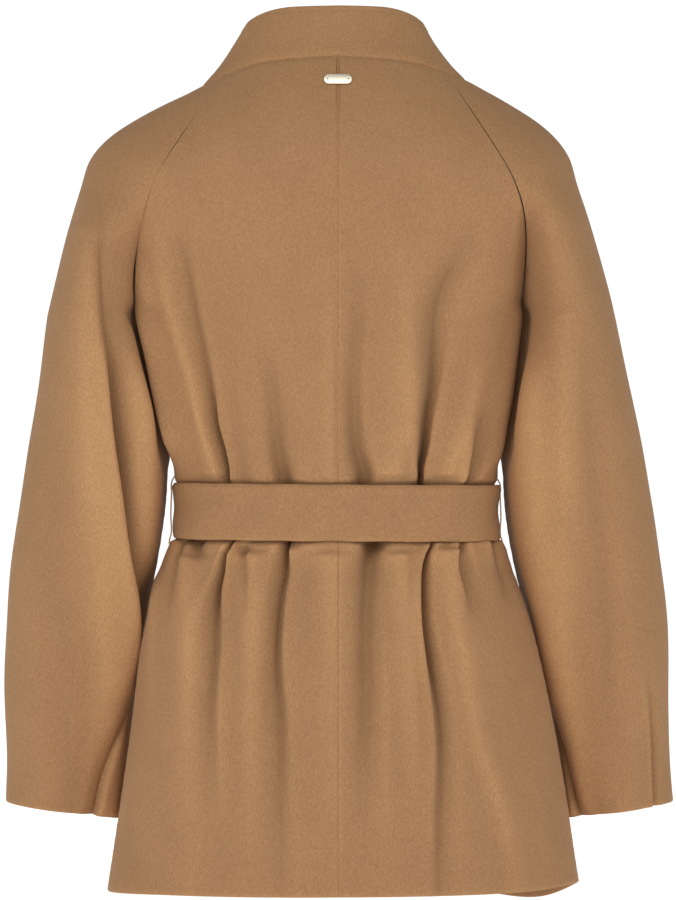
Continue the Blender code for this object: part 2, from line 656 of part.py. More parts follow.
def waist_point(angle, outset):
    """Point round the waist at an angle in degrees from the centre back, moved out."""
    side = "left" if angle <= 180.0 else "right"
    turn = angle if angle <= 180.0 else 360.0 - angle
    z = 0.5 * (BELT_TOP_Z + BELT_BOTTOM_Z)
    a = math.radians(turn)
    half_width = max(read(BODY_WIDTH, side, BELT_TOP_Z), read(BODY_WIDTH, side, BELT_BOTTOM_Z))
    name = "back" if turn <= 90.0 else "front"
    depth = max(read(BODY_DEPTH, name, BELT_TOP_Z), read(BODY_DEPTH, name, BELT_BOTTOM_Z))
    x = SIDES[side] * (half_width + outset) * math.sin(a)
    return np.array((x, (depth + outset) * math.cos(a), z + BELT_TILT * x))


def belt_mesh():
    """The belt: a band of doubled cloth closed round the waist."""
    height = BELT_TOP_Z - BELT_BOTTOM_Z
    count = len(BELT_SECTION)
    points, faces = [], []
    for i in range(BELT_STATIONS):
        angle = 360.0 * i / BELT_STATIONS
        for up, out in BELT_SECTION:
            point = waist_point(angle, BELT_CLEARANCE + BELT_CLOTH * out)
            point[2] += height * up
            points.append(point)
    for i in range(BELT_STATIONS):
        following = (i + 1) % BELT_STATIONS
        for k in range(count):
            after = (k + 1) % count
            faces.append((i * count + k, following * count + k,
                          following * count + after, i * count + after))
    return closed_mesh("belt", np.array(points) * MM, faces)


def swollen(value, power):
    """A signed share raised to a power, so that a round section turns squarer."""
    return math.copysign(abs(value) ** power, value)


def knot_mesh():
    """The tie: the belt's own band drawn tight over itself, as one rounded form."""
    rows, columns = KNOT_RINGS, KNOT_COLUMNS
    ring_power, across_power, out_power, up_power = KNOT_ROUNDNESS
    centre_z = 0.5 * (BELT_TOP_Z + BELT_BOTTOM_Z) - KNOT_DROP
    belt_face = waist_point(180.0, BELT_CLEARANCE + BELT_CROWN * BELT_CLOTH)[1]
    back_y = belt_face - KNOT_CLEARANCE
    points, faces = [], []
    for r in range(1, rows):
        latitude = math.pi * r / rows - math.pi / 2
        for c in range(columns):
            longitude = 2 * math.pi * c / columns
            ring = abs(math.cos(latitude)) ** ring_power
            x = ring * swollen(math.cos(longitude), across_power)
            y = ring * swollen(math.sin(longitude), out_power)
            z = swollen(math.sin(latitude), up_power)
            waist = 1.0 - KNOT_NECK * math.exp(-((z - KNOT_NECK_SLANT * x) / KNOT_NECK_WIDTH) ** 2)
            points.append((KNOT_X + 0.5 * KNOT_WIDTH * x * (1.0 - KNOT_TAPER * z * z),
                           back_y - KNOT_DEPTH * 0.5 * (1.0 - y * waist),
                           centre_z + 0.5 * KNOT_HEIGHT * z))
    top, bottom = len(points), len(points) + 1
    points.append((KNOT_X, back_y - KNOT_DEPTH * 0.5, centre_z - 0.5 * KNOT_HEIGHT))
    points.append((KNOT_X, back_y - KNOT_DEPTH * 0.5, centre_z + 0.5 * KNOT_HEIGHT))
    for r in range(rows - 2):
        for c in range(columns):
            after = (c + 1) % columns
            faces.append((r * columns + c, r * columns + after,
                          (r + 1) * columns + after, (r + 1) * columns + c))
    for c in range(columns):
        after = (c + 1) % columns
        faces.append((top, after, c))
        faces.append((bottom, (rows - 2) * columns + c, (rows - 2) * columns + after))
    return closed_mesh("belt_knot", np.array(points) * MM, faces)


def front_surface_y(x, z):
    """Fore and aft place of the fronts' outer surface, with no folds."""
    depth = read(BODY_DEPTH, "front", z)
    half_width = read(BODY_WIDTH, "left" if x > 0 else "right", z)
    return -depth * math.sqrt(1.0 - (x / half_width) ** 2)


def belt_end_wall(side):
    """One hanging end of the belt, pinched under the knot and laid over the front."""
    form = BELT_ENDS[side]
    top = BELT_BOTTOM_Z - BELT_END_DROP
    rows, columns = BELT_END_ROWS, BELT_END_COLUMNS
    near, far = BELT_END_CLEARANCE
    outer, inner = [], []
    for r in range(rows + 1):
        down = r / rows
        centre = form["x"] + form["spread"] * down ** 0.7
        width = BELT_END_PINCH + (BELT_END_WIDTH - BELT_END_PINCH) * step(0.0, 0.28, down)
        clearance = near + (far - near) * step(0.0, 0.2, down) + BELT_END_BOW * math.sin(math.pi * down)
        row_outer, row_inner = [], []
        for c in range(columns + 1):
            across = c / columns - 0.5
            x = centre + width * across
            slant = BELT_END_SLANT * across * SIDES[side] * step(0.8, 1.0, down)
            z = top - form["length"] * down - slant
            y = front_surface_y(x, z) - clearance
            row_outer.append((x, y - BELT_CLOTH, z))
            row_inner.append((x, y, z))
        outer.append(row_outer)
        inner.append(row_inner)
    return np.array(outer), np.array(inner)


def thread_loop(side, material, collection):
    """Thread loop at the side seam that carries the belt."""
    sign = SIDES[side]
    above, below = BELT_TOP_Z + THREAD_RUN, BELT_BOTTOM_Z - THREAD_RUN
    waist = abs(waist_point(90.0 if side == "left" else 270.0, 0.0)[0])
    clear = waist + BELT_CLEARANCE + BELT_CROWN * BELT_CLOTH + THREAD_RADIUS + THREAD_CLEARANCE
    start = read(BODY_WIDTH, side, above) + THREAD_RADIUS + THREAD_CLEARANCE
    end = read(BODY_WIDTH, side, below - 5.0) + THREAD_RADIUS + THREAD_CLEARANCE
    tilt = sign * BELT_TILT * waist
    path = ((start, above + 1.0), (start + 3.5, above + 0.5), (clear, BELT_TOP_Z + 1.5),
            (clear + 0.5, BELT_TOP_Z - 10.0), (clear + 1.2, BELT_BOTTOM_Z + 22.0),
            (clear + 1.0, BELT_BOTTOM_Z + 4.0), (max(end + 1.0, clear - 1.0), below + 3.0),
            (end, below - 3.0))
    curve = bpy.data.curves.new("belt_loop_" + side, "CURVE")
    curve.dimensions = "3D"
    curve.bevel_depth = THREAD_RADIUS * MM
    curve.bevel_resolution = 1
    curve.use_fill_caps = True
    spline = curve.splines.new("POLY")
    spline.points.add(len(path) - 1)
    for point, (x, z) in zip(spline.points, path):
        point.co = (sign * x * MM, THREAD_Y * MM, (z + tilt) * MM, 1.0)
    curve.materials.append(material)
    loop = bpy.data.objects.new("belt_loop_" + side, curve)
    collection.objects.link(loop)


def plate_mesh(points, normals):
    """Metal plate with round ends, flat against the back just under the collar seam."""
    spine, spine_normals = points[:, 0], normals[:, 0]
    length = np.concatenate(([0.0], np.cumsum(np.linalg.norm(np.diff(spine, axis=0), axis=1))))
    centre = np.array([np.interp(PLATE_DROP, length, spine[:, k]) for k in range(3)])
    low = np.array([np.interp(PLATE_DROP + PLATE_REACH, length, spine[:, k]) for k in range(3)])
    high = np.array([np.interp(PLATE_DROP - PLATE_REACH, length, spine[:, k]) for k in range(3)])
    up = unit(high - low)
    side = np.array((1.0, 0.0, 0.0))
    out = unit(np.cross(side, up))
    if out[1] < 0:
        out = -out
    radius = 0.5 * PLATE_HEIGHT
    straight = 0.5 * PLATE_WIDTH - radius
    outline = []
    for end in (1.0, -1.0):
        for k in range(PLATE_END_STEPS + 1):
            turn = math.pi * (k / PLATE_END_STEPS - 0.5)
            outline.append((end * (straight + radius * math.cos(turn)), end * radius * math.sin(turn)))
    points_out = []
    for lift in (PLATE_LIFT, PLATE_LIFT + PLATE_THICKNESS):
        for x, y in outline:
            points_out.append(centre + side * x + up * y + out * lift)
    count = len(outline)
    faces = [tuple(range(count)), tuple(range(count, 2 * count))[::-1]]
    faces += [(k, k + count, (k + 1) % count + count, (k + 1) % count) for k in range(count)]
    return closed_mesh("neck_plate", np.array(points_out) * MM, faces)


def clear_scene():
    """Remove every object the file opened with."""
    for existing in list(bpy.data.objects):
        bpy.data.objects.remove(existing, do_unlink=True)


def build_coat():
    """Build every part of the coat."""
    clear_scene()
    collection = bpy.data.collections.new("belted_wool_coat")
    bpy.context.scene.collection.children.link(collection)
    wool = make_material("wool", (0.38, 0.21, 0.105), 0.9)
    belt_wool = make_material("belt_wool", (0.37, 0.20, 0.10), 0.9)
    thread = make_material("thread", (0.45, 0.30, 0.18), 0.7)
    gold = make_material("pale_gold", (0.86, 0.72, 0.48), 0.3, 1.0)

    halves = {}
    for side in SIDES:
        points, normals, walls = panel_walls(side)
        halves[side] = (points, normals)
        for piece in ("back", "front", "sleeve"):
            name = piece + "_" + side
            add_part(name, wall_mesh(name, *walls[piece]), wool, collection)
        name = "belt_end_" + side
        add_part(name, wall_mesh(name, *belt_end_wall(side)), belt_wool, collection)
        thread_loop(side, thread, collection)
    add_part("collar", wall_mesh("collar", *collar_wall(halves)), wool, collection)
    add_part("belt", belt_mesh(), belt_wool, collection)
    add_part("belt_knot", knot_mesh(), belt_wool, collection)
    points, normals = halves["left"]
    add_part("neck_plate", plate_mesh(points["back"], normals["back"]), gold, collection)


build_coat()
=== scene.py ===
"""Belted wool coat seen from behind, dressed for its portrait.

Each cloth piece starts as a merged copy of its solid, is subdivided, and gets its folds,
puckered seams and turned edges from the tables below. Edges that are sewn together move
alike. Places in the tables are millimetres in the coat's own frame: +X is the wearer's
left, +Y the back, +Z up.
"""
from __future__ import annotations

import json
import logging
import math
from dataclasses import dataclass, field
from enum import Enum
from typing import ClassVar, Sequence

import bmesh
import bpy
import numpy as np
from mathutils import Matrix, Vector
from mathutils.bvhtree import BVHTree
from mathutils.kdtree import KDTree

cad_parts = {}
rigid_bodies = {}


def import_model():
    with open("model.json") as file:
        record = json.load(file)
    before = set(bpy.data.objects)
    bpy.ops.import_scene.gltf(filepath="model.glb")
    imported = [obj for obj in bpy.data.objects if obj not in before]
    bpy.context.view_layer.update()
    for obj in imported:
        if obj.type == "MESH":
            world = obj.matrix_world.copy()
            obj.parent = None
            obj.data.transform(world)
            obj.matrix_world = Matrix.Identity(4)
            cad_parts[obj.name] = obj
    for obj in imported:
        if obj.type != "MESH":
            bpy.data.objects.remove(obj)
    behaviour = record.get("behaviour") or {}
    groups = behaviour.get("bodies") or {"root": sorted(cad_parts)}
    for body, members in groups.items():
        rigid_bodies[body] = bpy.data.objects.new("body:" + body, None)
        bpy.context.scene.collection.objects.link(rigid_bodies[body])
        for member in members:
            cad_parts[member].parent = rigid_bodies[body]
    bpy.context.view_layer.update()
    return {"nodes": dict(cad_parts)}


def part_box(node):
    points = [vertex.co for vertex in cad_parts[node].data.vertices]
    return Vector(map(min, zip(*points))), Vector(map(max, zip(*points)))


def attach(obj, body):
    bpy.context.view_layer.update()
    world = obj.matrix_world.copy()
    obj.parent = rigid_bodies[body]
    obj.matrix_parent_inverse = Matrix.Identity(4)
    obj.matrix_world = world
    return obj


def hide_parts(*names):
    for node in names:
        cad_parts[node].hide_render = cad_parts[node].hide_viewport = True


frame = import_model()

LOG = logging.getLogger("coat")
MM = 0.001
BODY = "root"


# ------------------------------------------------------------------ options and small tools

class Side(Enum):
    """Side of the wearer."""

    LEFT = 1.0
    RIGHT = -1.0

    @property
    def word(self) -> str:
        """The side's word in node names."""
        return self.name.lower()


class Layer(Enum):
    """Part of a cloth wall, kept as a face's material index while it is shaped."""

    OUTER = 0
    RIM = 1
    INNER = 2


class Fold(Enum):
    """Cross-section of a fold."""

    SHARP = "sharp"
    SOFT = "soft"
    PLEAT = "pleat"


def deselect() -> None:
    """Deselect every object."""
    for thing in bpy.context.view_layer.objects:
        thing.select_set(False)


def activate(thing: bpy.types.Object) -> None:
    """Select one object alone and make it the active one."""
    deselect()
    thing.select_set(True)
    bpy.context.view_layer.objects.active = thing


def apply_modifier(thing: bpy.types.Object, kind: str, **settings: object) -> None:
    """Add a modifier, set it and apply it.

    Args:
        thing: Object that gets the modifier.
        kind: Modifier type.
        **settings: Properties of the modifier.
    """
    activate(thing)
    modifier = thing.modifiers.new(kind.title(), kind)
    for name, value in settings.items():
        setattr(modifier, name, value)
    bpy.ops.object.modifier_apply(modifier=modifier.name)


def read_points(mesh: bpy.types.Mesh) -> np.ndarray:
    """Points of a mesh, in millimetres."""
    points = np.empty(len(mesh.vertices) * 3)
    mesh.vertices.foreach_get("co", points)
    return points.reshape(-1, 3) / MM


def write_points(mesh: bpy.types.Mesh, points: np.ndarray) -> None:
    """Put points in millimetres back in a mesh."""
    mesh.vertices.foreach_set("co", (points * MM).ravel())
    mesh.update()


def store(mesh: bpy.types.Mesh, name: str, values: np.ndarray) -> None:
    """Keep one number a point as an attribute."""
    layer = mesh.attributes.new(name, "FLOAT", "POINT")
    layer.data.foreach_set("value", np.asarray(values, np.float32))


def smooth_step(low: float, high: float, value: np.ndarray) -> np.ndarray:
    """Rise smoothly from 0 at low to 1 at high."""
    share = np.clip((value - low) / (high - low), 0.0, 1.0)
    return share * share * (3.0 - 2.0 * share)


def window(value: np.ndarray, rise: tuple[float, float], fall: tuple[float, float]) -> np.ndarray:
    """Rise smoothly to 1 over the first span and fall back to 0 over the second."""
    return smooth_step(*rise, value) * (1.0 - smooth_step(*fall, value))


def bell(offset: np.ndarray, width: float | np.ndarray) -> np.ndarray:
    """Bell curve: 1 in the middle and 1/e at one width from it."""
    return np.exp(-(offset / width) ** 2)


def curve_through(knots: Sequence[float], values: Sequence[float], at: np.ndarray) -> np.ndarray:
    """Read a smooth curve through points.

    Args:
        knots: Places of the points, rising.
        values: The curve's value at each.
        at: Places to read; beyond the ends the curve is level.

    Returns:
        The curve's value at each place.
    """
    knots, values = np.asarray(knots, float), np.asarray(values, float)
    slopes = np.gradient(values, knots)
    index = np.clip(np.searchsorted(knots, at) - 1, 0, len(knots) - 2)
    width = knots[index + 1] - knots[index]
    t = np.clip((at - knots[index]) / width, 0.0, 1.0)
    return ((1 + 2 * t) * (1 - t) ** 2 * values[index] + t * (1 - t) ** 2 * width * slopes[index]
            + t * t * (3 - 2 * t) * values[index + 1] + t * t * (t - 1) * width * slopes[index + 1])


def point_tree(points: np.ndarray) -> KDTree:
    """Search tree over points."""
    tree = KDTree(len(points))
    for i, point in enumerate(points):
        tree.insert(point, i)
    tree.balance()
    return tree


def nearest(points: np.ndarray, targets: np.ndarray) -> tuple[np.ndarray, np.ndarray]:
    """For each point, the index of the nearest target and how far it is."""
    tree = point_tree(targets)
    found = [tree.find(point) for point in points]
    return np.array([f[1] for f in found]), np.array([f[2] for f in found])


def add_object(shape: bmesh.types.BMesh, name: str, material: bpy.types.Material
               ) -> bpy.types.Object:
    """Turn a finished shape into a smooth object of one material."""
    mesh = bpy.data.meshes.new(name)
    shape.to_mesh(mesh)
    shape.free()
    mesh.shade_smooth()
    mesh.materials.append(material)
    thing = bpy.data.objects.new(name, mesh)
    bpy.context.scene.collection.objects.link(thing)
    return thing


@dataclass(frozen=True)
class Ripple:
    """Slow, even-tempered unevenness of the cloth, made of a few seeded waves."""

    seed: int
    size: float
    wavelengths: tuple[float, float] = (46.0, 130.0)
    waves: int = 9

    def at(self, points: np.ndarray) -> np.ndarray:
        """Height of the ripple at each point, in millimetres."""
        chance = np.random.RandomState(self.seed)
        height = np.zeros(len(points))
        for _ in range(self.waves):
            direction = chance.normal(size=3) * (1.0, 1.0, 0.5)
            direction /= np.linalg.norm(direction)
            length = chance.uniform(*self.wavelengths)
            height += np.sin(2 * math.pi * (points @ direction) / length + chance.uniform(0, 6.3))
        return height * self.size / math.sqrt(self.waves)


# ------------------------------------------------------------------ folds

@dataclass(frozen=True)
class Crease:
    """One fold of the cloth.

    Its path is a row of (sideways place, height, depth), read from above or below. A negative
    depth is a ridge. The widths are to the wearer's left and right of the path. A sharp fold
    opens out as it fades, by its spread, and its steeper side leans over the valley.
    """

    path: tuple[tuple[float, float, float], ...]
    left: float = 9.0
    right: float = 9.0
    kind: Fold = Fold.SOFT
    spread: float = 1.5

    TAPER: ClassVar[float] = 8.0
    LEAN: ClassVar[float] = 0.33
    LEAN_AT: ClassVar[tuple[float, float]] = (2.3, 1.2)
    CREST: ClassVar[float] = 0.22
    CREST_AT: ClassVar[tuple[float, float]] = (2.5, 1.1)
    PLEAT_STEP: ClassVar[float] = 1.3
    FALL: ClassVar[dict[Fold, float]] = {Fold.SHARP: 1.15, Fold.SOFT: 1.8, Fold.PLEAT: 1.4}

    def measure(self, x: np.ndarray, z: np.ndarray) -> tuple[np.ndarray, np.ndarray, np.ndarray]:
        """Where each place lies in the fold.

        Args:
            x: Sideways places, in millimetres.
            z: Heights, in millimetres.

        Returns:
            Distance from the path, distance as a share of the fold's width, and depth there.
        """
        rows = sorted(self.path, key=lambda row: row[1])
        heights = [row[1] for row in rows]
        middle = curve_through(heights, [row[0] for row in rows], z)
        depth = curve_through(heights, [row[2] for row in rows], z)
        start, stop = heights[0], heights[-1]
        depth = depth * window(z, (start, start + self.TAPER), (stop - self.TAPER, stop))
        off = x - middle
        width = np.where(off > 0, self.left, self.right)
        if self.kind is Fold.SHARP:
            most = max(abs(row[2]) for row in rows)
            width = width * (1.0 + self.spread * (1.0 - np.clip(np.abs(depth) / most, 0.0, 1.0)))
        return off, off / width, depth

    def depth_at(self, x: np.ndarray, z: np.ndarray) -> np.ndarray:
        """How far the fold draws the cloth in at each place."""
        off, share, depth = self.measure(x, z)
        profile = np.exp(-np.abs(share) ** self.FALL[self.kind])
        if self.kind is Fold.PLEAT:
            profile = 0.5 * np.tanh(-off / self.PLEAT_STEP) * profile
        elif self.kind is Fold.SHARP:
            place, width = self.CREST_AT
            profile = profile - self.CREST * bell(np.abs(share) - place, width)
        return depth * profile

    def lean_at(self, x: np.ndarray, z: np.ndarray) -> np.ndarray:
        """How far the steeper side's crest leans over the valley, sideways."""
        if self.kind is not Fold.SHARP:
            return np.zeros_like(x)
        _, share, depth = self.measure(x, z)
        steep = 1.0 if self.left < self.right else -1.0
        place, width = self.LEAN_AT
        return -steep * self.LEAN * depth * bell(share * steep - place, width)


BACK_CREASES = (
    # above the belt, from the wearer's left
    Crease(((165, -150, -0.8), (152, -230, -3.6), (130, -300, -5.1), (117, -361, -6.1),
            (108, -388, -5.5)), 11, 8),
    Crease(((154, -150, 0), (143, -186, 3.3), (135.3, -224, 5.4), (122.5, -279, 6.6),
            (115.2, -315, 8.1), (111.5, -334, 10.5), (103.7, -361, 11.4), (98.9, -379, 12.0),
            (97.5, -400, 12.0)), 4.2, 2.4, Fold.SHARP),
    Crease(((72, -250, 0), (64, -289, 3.9), (58.5, -334, 6.2), (56.7, -361, 8.2), (52, -379, 10.1),
            (47.6, -400, 13.7)), 6, 8),
    Crease(((6.4, -180, -0.8), (6.4, -252, -2.0), (6.4, -325, -2.8), (6.4, -388, -2.8)), 9, 5),
    Crease(((-22, -190, 0), (-19, -252, 4.7), (-15.5, -300, 6.2), (-17, -334, 8.2),
            (-20, -361, 10.1), (-25.6, -380, 12.5), (-26, -400, 14.0)), 9.5, 4.6),
    Crease(((-60.8, -160, -0.5), (-60.8, -252, -3.0), (-60.9, -325, -4.9), (-55.4, -361, -5.7),
            (-48.2, -388, -4.9)), 15, 15),
    Crease(((-133, -140, 0), (-117, -180, 3.6), (-99, -212, 6.6), (-92, -240, 8.1),
            (-90.5, -262, 9.0), (-87.7, -297, 10.8), (-82.3, -334, 12.3), (-80, -361, 13.5),
            (-77.2, -380, 14.7), (-77.6, -400, 14.7)), 3.6, 2.4, Fold.SHARP, 4.0),
    Crease(((-133.1, -270, -1.2), (-120.3, -325, -5.1), (-106.5, -361, -7.3), (-95.6, -388, -6.6)),
           9, 11),
    Crease(((-138, -318, 0), (-133, -340, 4.5), (-127.5, -361, 8.1), (-118.8, -379, 11.1),
            (-115.6, -388, 12.3), (-113, -400, 12.3)), 2.6, 4.4, Fold.SHARP, 2.5),
    # below it
    Crease(((92.4, -434, 15.0), (93.2, -448, 15.0), (98.7, -457, 15.0), (102.4, -471, 13.8),
            (107.9, -489, 12.0), (111.5, -516, 8.4), (112.8, -553, 6.6), (116.4, -590, 5.1),
            (118.9, -640, 2.4), (119, -690, 0)), 3.4, 1.9, Fold.SHARP, 2.5),
    Crease(((44.6, -434, 13.5), (45.2, -448, 13.5), (46.2, -457, 12.3), (47.6, -471, 10.8),
            (51.2, -489, 10.2), (53.9, -516, 10.2), (55.6, -553, 9.3), (53, -600, 7.5),
            (53, -690, 4.5), (52, -790, 1.2)), 4.6, 2.9, Fold.SHARP, 1.6),
    Crease(((-33, -434, 16.8), (-32, -448, 15.6), (-30.6, -461, 11.4), (-29.6, -475, 9.8),
            (-27, -516, 8.6), (-26, -590, 6.7), (-24, -660, 2.9), (-22, -710, 0)), 8.5, 5.5),
    Crease(((-82, -434, 18.0), (-80.4, -448, 18.0), (-76.8, -457, 17.1), (-75, -471, 15.6),
            (-74.6, -489, 14.4), (-75.4, -516, 13.2), (-82.3, -553, 11.4), (-89.6, -590, 9.0),
            (-93, -623, 8.1), (-92.7, -694, 5.7), (-93, -790, 2.4)), 1.9, 3.2, Fold.SHARP, 1.8),
    Crease(((-106, -434, 17.2), (-106, -448, 16.5), (-106, -457, 12.3), (-109.7, -471, 8.1),
            (-117, -489, 5.1), (-121, -516, 0)), 1.9, 4.2, Fold.SHARP, 1.5),
    Crease(((131, -434, 12.6), (130, -444, 11.7), (129, -452, 6.2), (128, -470, 0)), 8.5, 6.5),
    Crease(((40, -434, 9.8), (40, -446, 9.0), (41, -456, 0)), 5, 5),
    Crease(((-37, -434, 9.8), (-37, -446, 9.0), (-36, -456, 0)), 6, 7),
    Crease(((139, -434, 9.0), (144, -448, 9.0), (150.5, -471, 6.4), (156, -512, 0)), 1.9, 3.0,
           Fold.SHARP),
    Crease(((-140, -434, 9.0), (-143.5, -448, 9.0), (-151.7, -471, 6.4), (-158, -505, 0)), 3.0, 1.9,
           Fold.SHARP),
    Crease(((84, -444, 7.8), (83.6, -474, 6.1), (83.3, -518, 0)), 4.3, 4.3),
    Crease(((134, -456, -6.6), (135, -516, -5.7), (134.6, -589, -4.5), (134, -690, -3.0),
            (134, -790, -1.6)), 14, 14),
    Crease(((78, -452, -7.8), (80.5, -533, -5.7), (80.2, -623, -3.4), (80, -720, 0)), 11, 11),
    Crease(((6, -452, -6.6), (6, -533, -4.1), (6, -623, -2.4), (6, -720, 0)), 12, 14),
    Crease(((-56, -452, -7.8), (-64.2, -533, -6.5), (-69.4, -623, -3.6), (-74, -720, 0)), 12, 9),
    Crease(((-94.5, -450, -9.7), (-99.8, -484, -8.2), (-105.1, -515, -7.3), (-113.2, -551, -6.6),
            (-126.4, -623, -6.1), (-150.5, -695, -4.5), (-168, -790, -2.8)), 8, 14),
    Crease(((163, -455, 0), (167, -480, -3.0), (171, -540, -3.0), (173, -600, 0)), 5, 5),
    Crease(((101, -520, 0), (104, -590, -3.4), (104, -650, -2.6), (104, -700, 0)), 5, 5),
    Crease(((-43, -500, 0), (-43, -560, -3.0), (-44, -640, -3.0), (-44, -720, 0)), 6, 6),
)

FRONT_CREASES = (
    Crease(((138, -196, 0), (126, -250, 4.5), (112, -310, 7.6), (98, -361, 9.5), (90, -392, 10.6)),
           7, 13),
    Crease(((92, -262, 0), (80, -325, 4.1), (66, -392, 8.5)), 6.5, 8.6),
    Crease(((22, -240, 0), (26, -320, 3.1), (32, -392, 6.0)), 7.9, 7.9),
    Crease(((-30, -225, 0), (-32, -310, 3.5), (-38, -392, 7.0)), 7.9, 7.9),
    Crease(((-134, -205, 0), (-118, -262, 5.0), (-100, -320, 8.1), (-84, -392, 10.6)), 9.4, 5.0),
    Crease(((-138, -320, 0), (-124, -392, 10.6)), 5.8, 4.3),
    Crease(((112, -270, -1.2), (96, -330, -3.1), (80, -388, -3.6)), 10, 10),
    Crease(((-104, -250, -1.0), (-84, -320, -3.1), (-62, -388, -3.6)), 11, 11),
    Crease(((88, -444, 14.1), (97, -495, 10.6), (108, -570, 7.0), (116, -650, 3.1), (118, -710, 0)),
           8, 12),
    Crease(((46, -444, 10.1), (55, -520, 7.0), (60, -620, 3.5), (62, -700, 0)), 6.5, 8.6),
    Crease(((-18, -444, 8.1), (-15, -520, 5.6), (-14, -620, 2.2), (-14, -680, 0)), 7.9, 6.5),
    Crease(((-56, -444, 11.6), (-62, -520, 8.3), (-69, -620, 5.0), (-74, -720, 1.5),
            (-76, -790, 0)), 12, 8),
    Crease(((-96, -444, 14.6), (-104, -500, 10.1), (-116, -580, 6.6), (-126, -680, 2.5),
            (-130, -740, 0)), 8.6, 5.0),
    Crease(((-128, -444, 10.6), (-140, -500, 5.0), (-146, -540, 0)), 5.8, 4.3),
    Crease(((126, -444, 10.6), (138, -500, 5.0), (144, -540, 0)), 5.8, 4.3),
    Crease(((70, -452, -4.7), (78, -530, -3.5), (84, -640, -1.8), (86, -740, 0)), 11, 11),
    Crease(((-76, -452, -5.1), (-82, -530, -3.9), (-92, -640, -2.2), (-98, -760, 0)), 11, 11),
)

SLEEVE_BACK_CREASES = (
    # the wearer's left sleeve
    Crease(((222, -110, 0), (219.5, -150, 3.7), (216.8, -178, 5.8), (212.4, -224, 5.1),
            (208.6, -270, 7.4), (206.9, -315, 10.8), (204.2, -361, 13.8), (199.8, -407, 14.9),
            (196.4, -452, 14.9), (193, -498, 13.8), (192, -544, 10.3), (191, -590, 0)),
           3.0, 8.6, Fold.SHARP, 1.2),
    Crease(((216, -250, 0), (217, -315, -5.9), (213, -361, -8.5), (209, -407, -9.5),
            (205, -452, -9.5), (202, -498, -8.5), (200, -560, -5.1), (198, -620, 0)), 15, 7),
    Crease(((232, -150, -1.0), (230, -230, -3.5), (228, -330, -4.0), (224, -450, -3.5),
            (216, -560, -2.6), (212, -640, 0)), 15, 15),
    Crease(((262, -300, 0), (264, -400, 2.9), (262, -520, 3.2), (256, -620, 2.0), (254, -700, 1.0)),
           20, 20),
    Crease(((196.7, -580, 0), (202, -606, 3.9), (212, -636, 6.9), (221, -668, 8.0),
            (226.9, -700, 8.5), (228.5, -712, 8.5)), 5.0, 1.9, Fold.SHARP, 1.0),
    # and the right one
    Crease(((-206, -230, -1.0), (-205, -300, -3.8), (-206, -420, -3.8), (-210, -540, -2.6),
            (-214, -620, 0)), 14, 14),
    Crease(((-180, -330, -1.3), (-186, -420, -3.0), (-196, -520, -2.1), (-202, -600, 0)), 12, 12),
    Crease(((-228, -220, 0), (-232, -320, 4.0), (-240, -440, 4.1), (-246, -560, 2.9),
            (-250, -640, 0)), 11.5, 11.5),
    Crease(((-200, -590, 0), (-205, -612, 3.9), (-213, -640, 6.9), (-220.5, -674, 8.0),
            (-226, -700, 8.5), (-228, -712, 8.5)), 2.0, 4.4, Fold.SHARP, 1.0),
    Crease(((-288.9, -560, 0), (-291, -590, 2.6), (-293, -625, 4.2), (-296.1, -693, 4.6),
            (-296.5, -712, 4.6)), 1.8, 2.6, Fold.SHARP, 1.0),
)

SLEEVE_FRONT_CREASES = (
    Crease(((212, -150, 0), (208, -230, 4.0), (204, -300, 4.3), (202, -380, 2.2), (202, -450, 0)),
           10, 13),
    Crease(((232, -290, 0), (214, -340, 3.2), (196, -372, 4.0), (184, -392, 2.2), (180, -404, 0)),
           12, 12),
    Crease(((248, -352, 0), (226, -398, 2.7), (204, -428, 3.4), (190, -446, 1.4), (186, -456, 0)),
           12, 12),
    Crease(((236, -250, -0.8), (238, -380, -2.1), (240, -520, -1.4), (242, -620, 0)), 18, 18),
    Crease(((240, -706, 4.6), (232, -672, 3.4), (222, -636, 1.6), (216, -604, 0)), 16, 16,
           Fold.PLEAT),
    Crease(((-210, -150, 0), (-206, -230, 4.0), (-200, -300, 4.3), (-199, -380, 2.2),
            (-199, -450, 0)), 9.4, 7.2),
    Crease(((-230, -300, 0), (-212, -350, 3.2), (-194, -382, 4.0), (-182, -402, 2.2),
            (-178, -412, 0)), 8.6, 8.6),
    Crease(((-246, -364, 0), (-224, -410, 2.7), (-202, -440, 3.4), (-188, -458, 1.4),
            (-184, -468, 0)), 8.6, 8.6),
    Crease(((-236, -250, -0.8), (-238, -380, -2.1), (-240, -520, -1.4), (-242, -620, 0)), 18, 18),
    Crease(((-240, -706, 4.6), (-232, -672, 3.4), (-222, -636, 1.6), (-216, -604, 0)), 16, 16,
           Fold.PLEAT),
)


# Valleys that run along the armhole, on the sleeve and the body alike.
ARMHOLE_CREASES_BACK = (
    Crease(((191, -205, 0), (186, -226, 2.6), (179, -258, 5.4), (172, -292, 6.0), (166, -326, 4.4),
            (157, -362, 0)), 10, 8),
    Crease(((-184.7, -100, 0), (-179, -124, 3.5), (-173.4, -148, 7.5), (-171.5, -178, 10.5),
            (-170.4, -214, 12.5), (-167.6, -248, 12.0), (-162.6, -288, 9.0), (-157, -332, 5.0),
            (-151, -372, 0)), 4.5, 13),
)
ARMHOLE_CREASES_FRONT = (
    Crease(((188, -130, 0), (186, -180, 5.0), (184, -230, 7.5), (174, -290, 6.0), (164, -345, 0)),
           10, 6),
    Crease(((-176, -130, 0), (-174, -180, 5.0), (-169, -230, 7.5), (-163, -290, 6.0),
            (-155, -345, 0)), 6, 10),
)


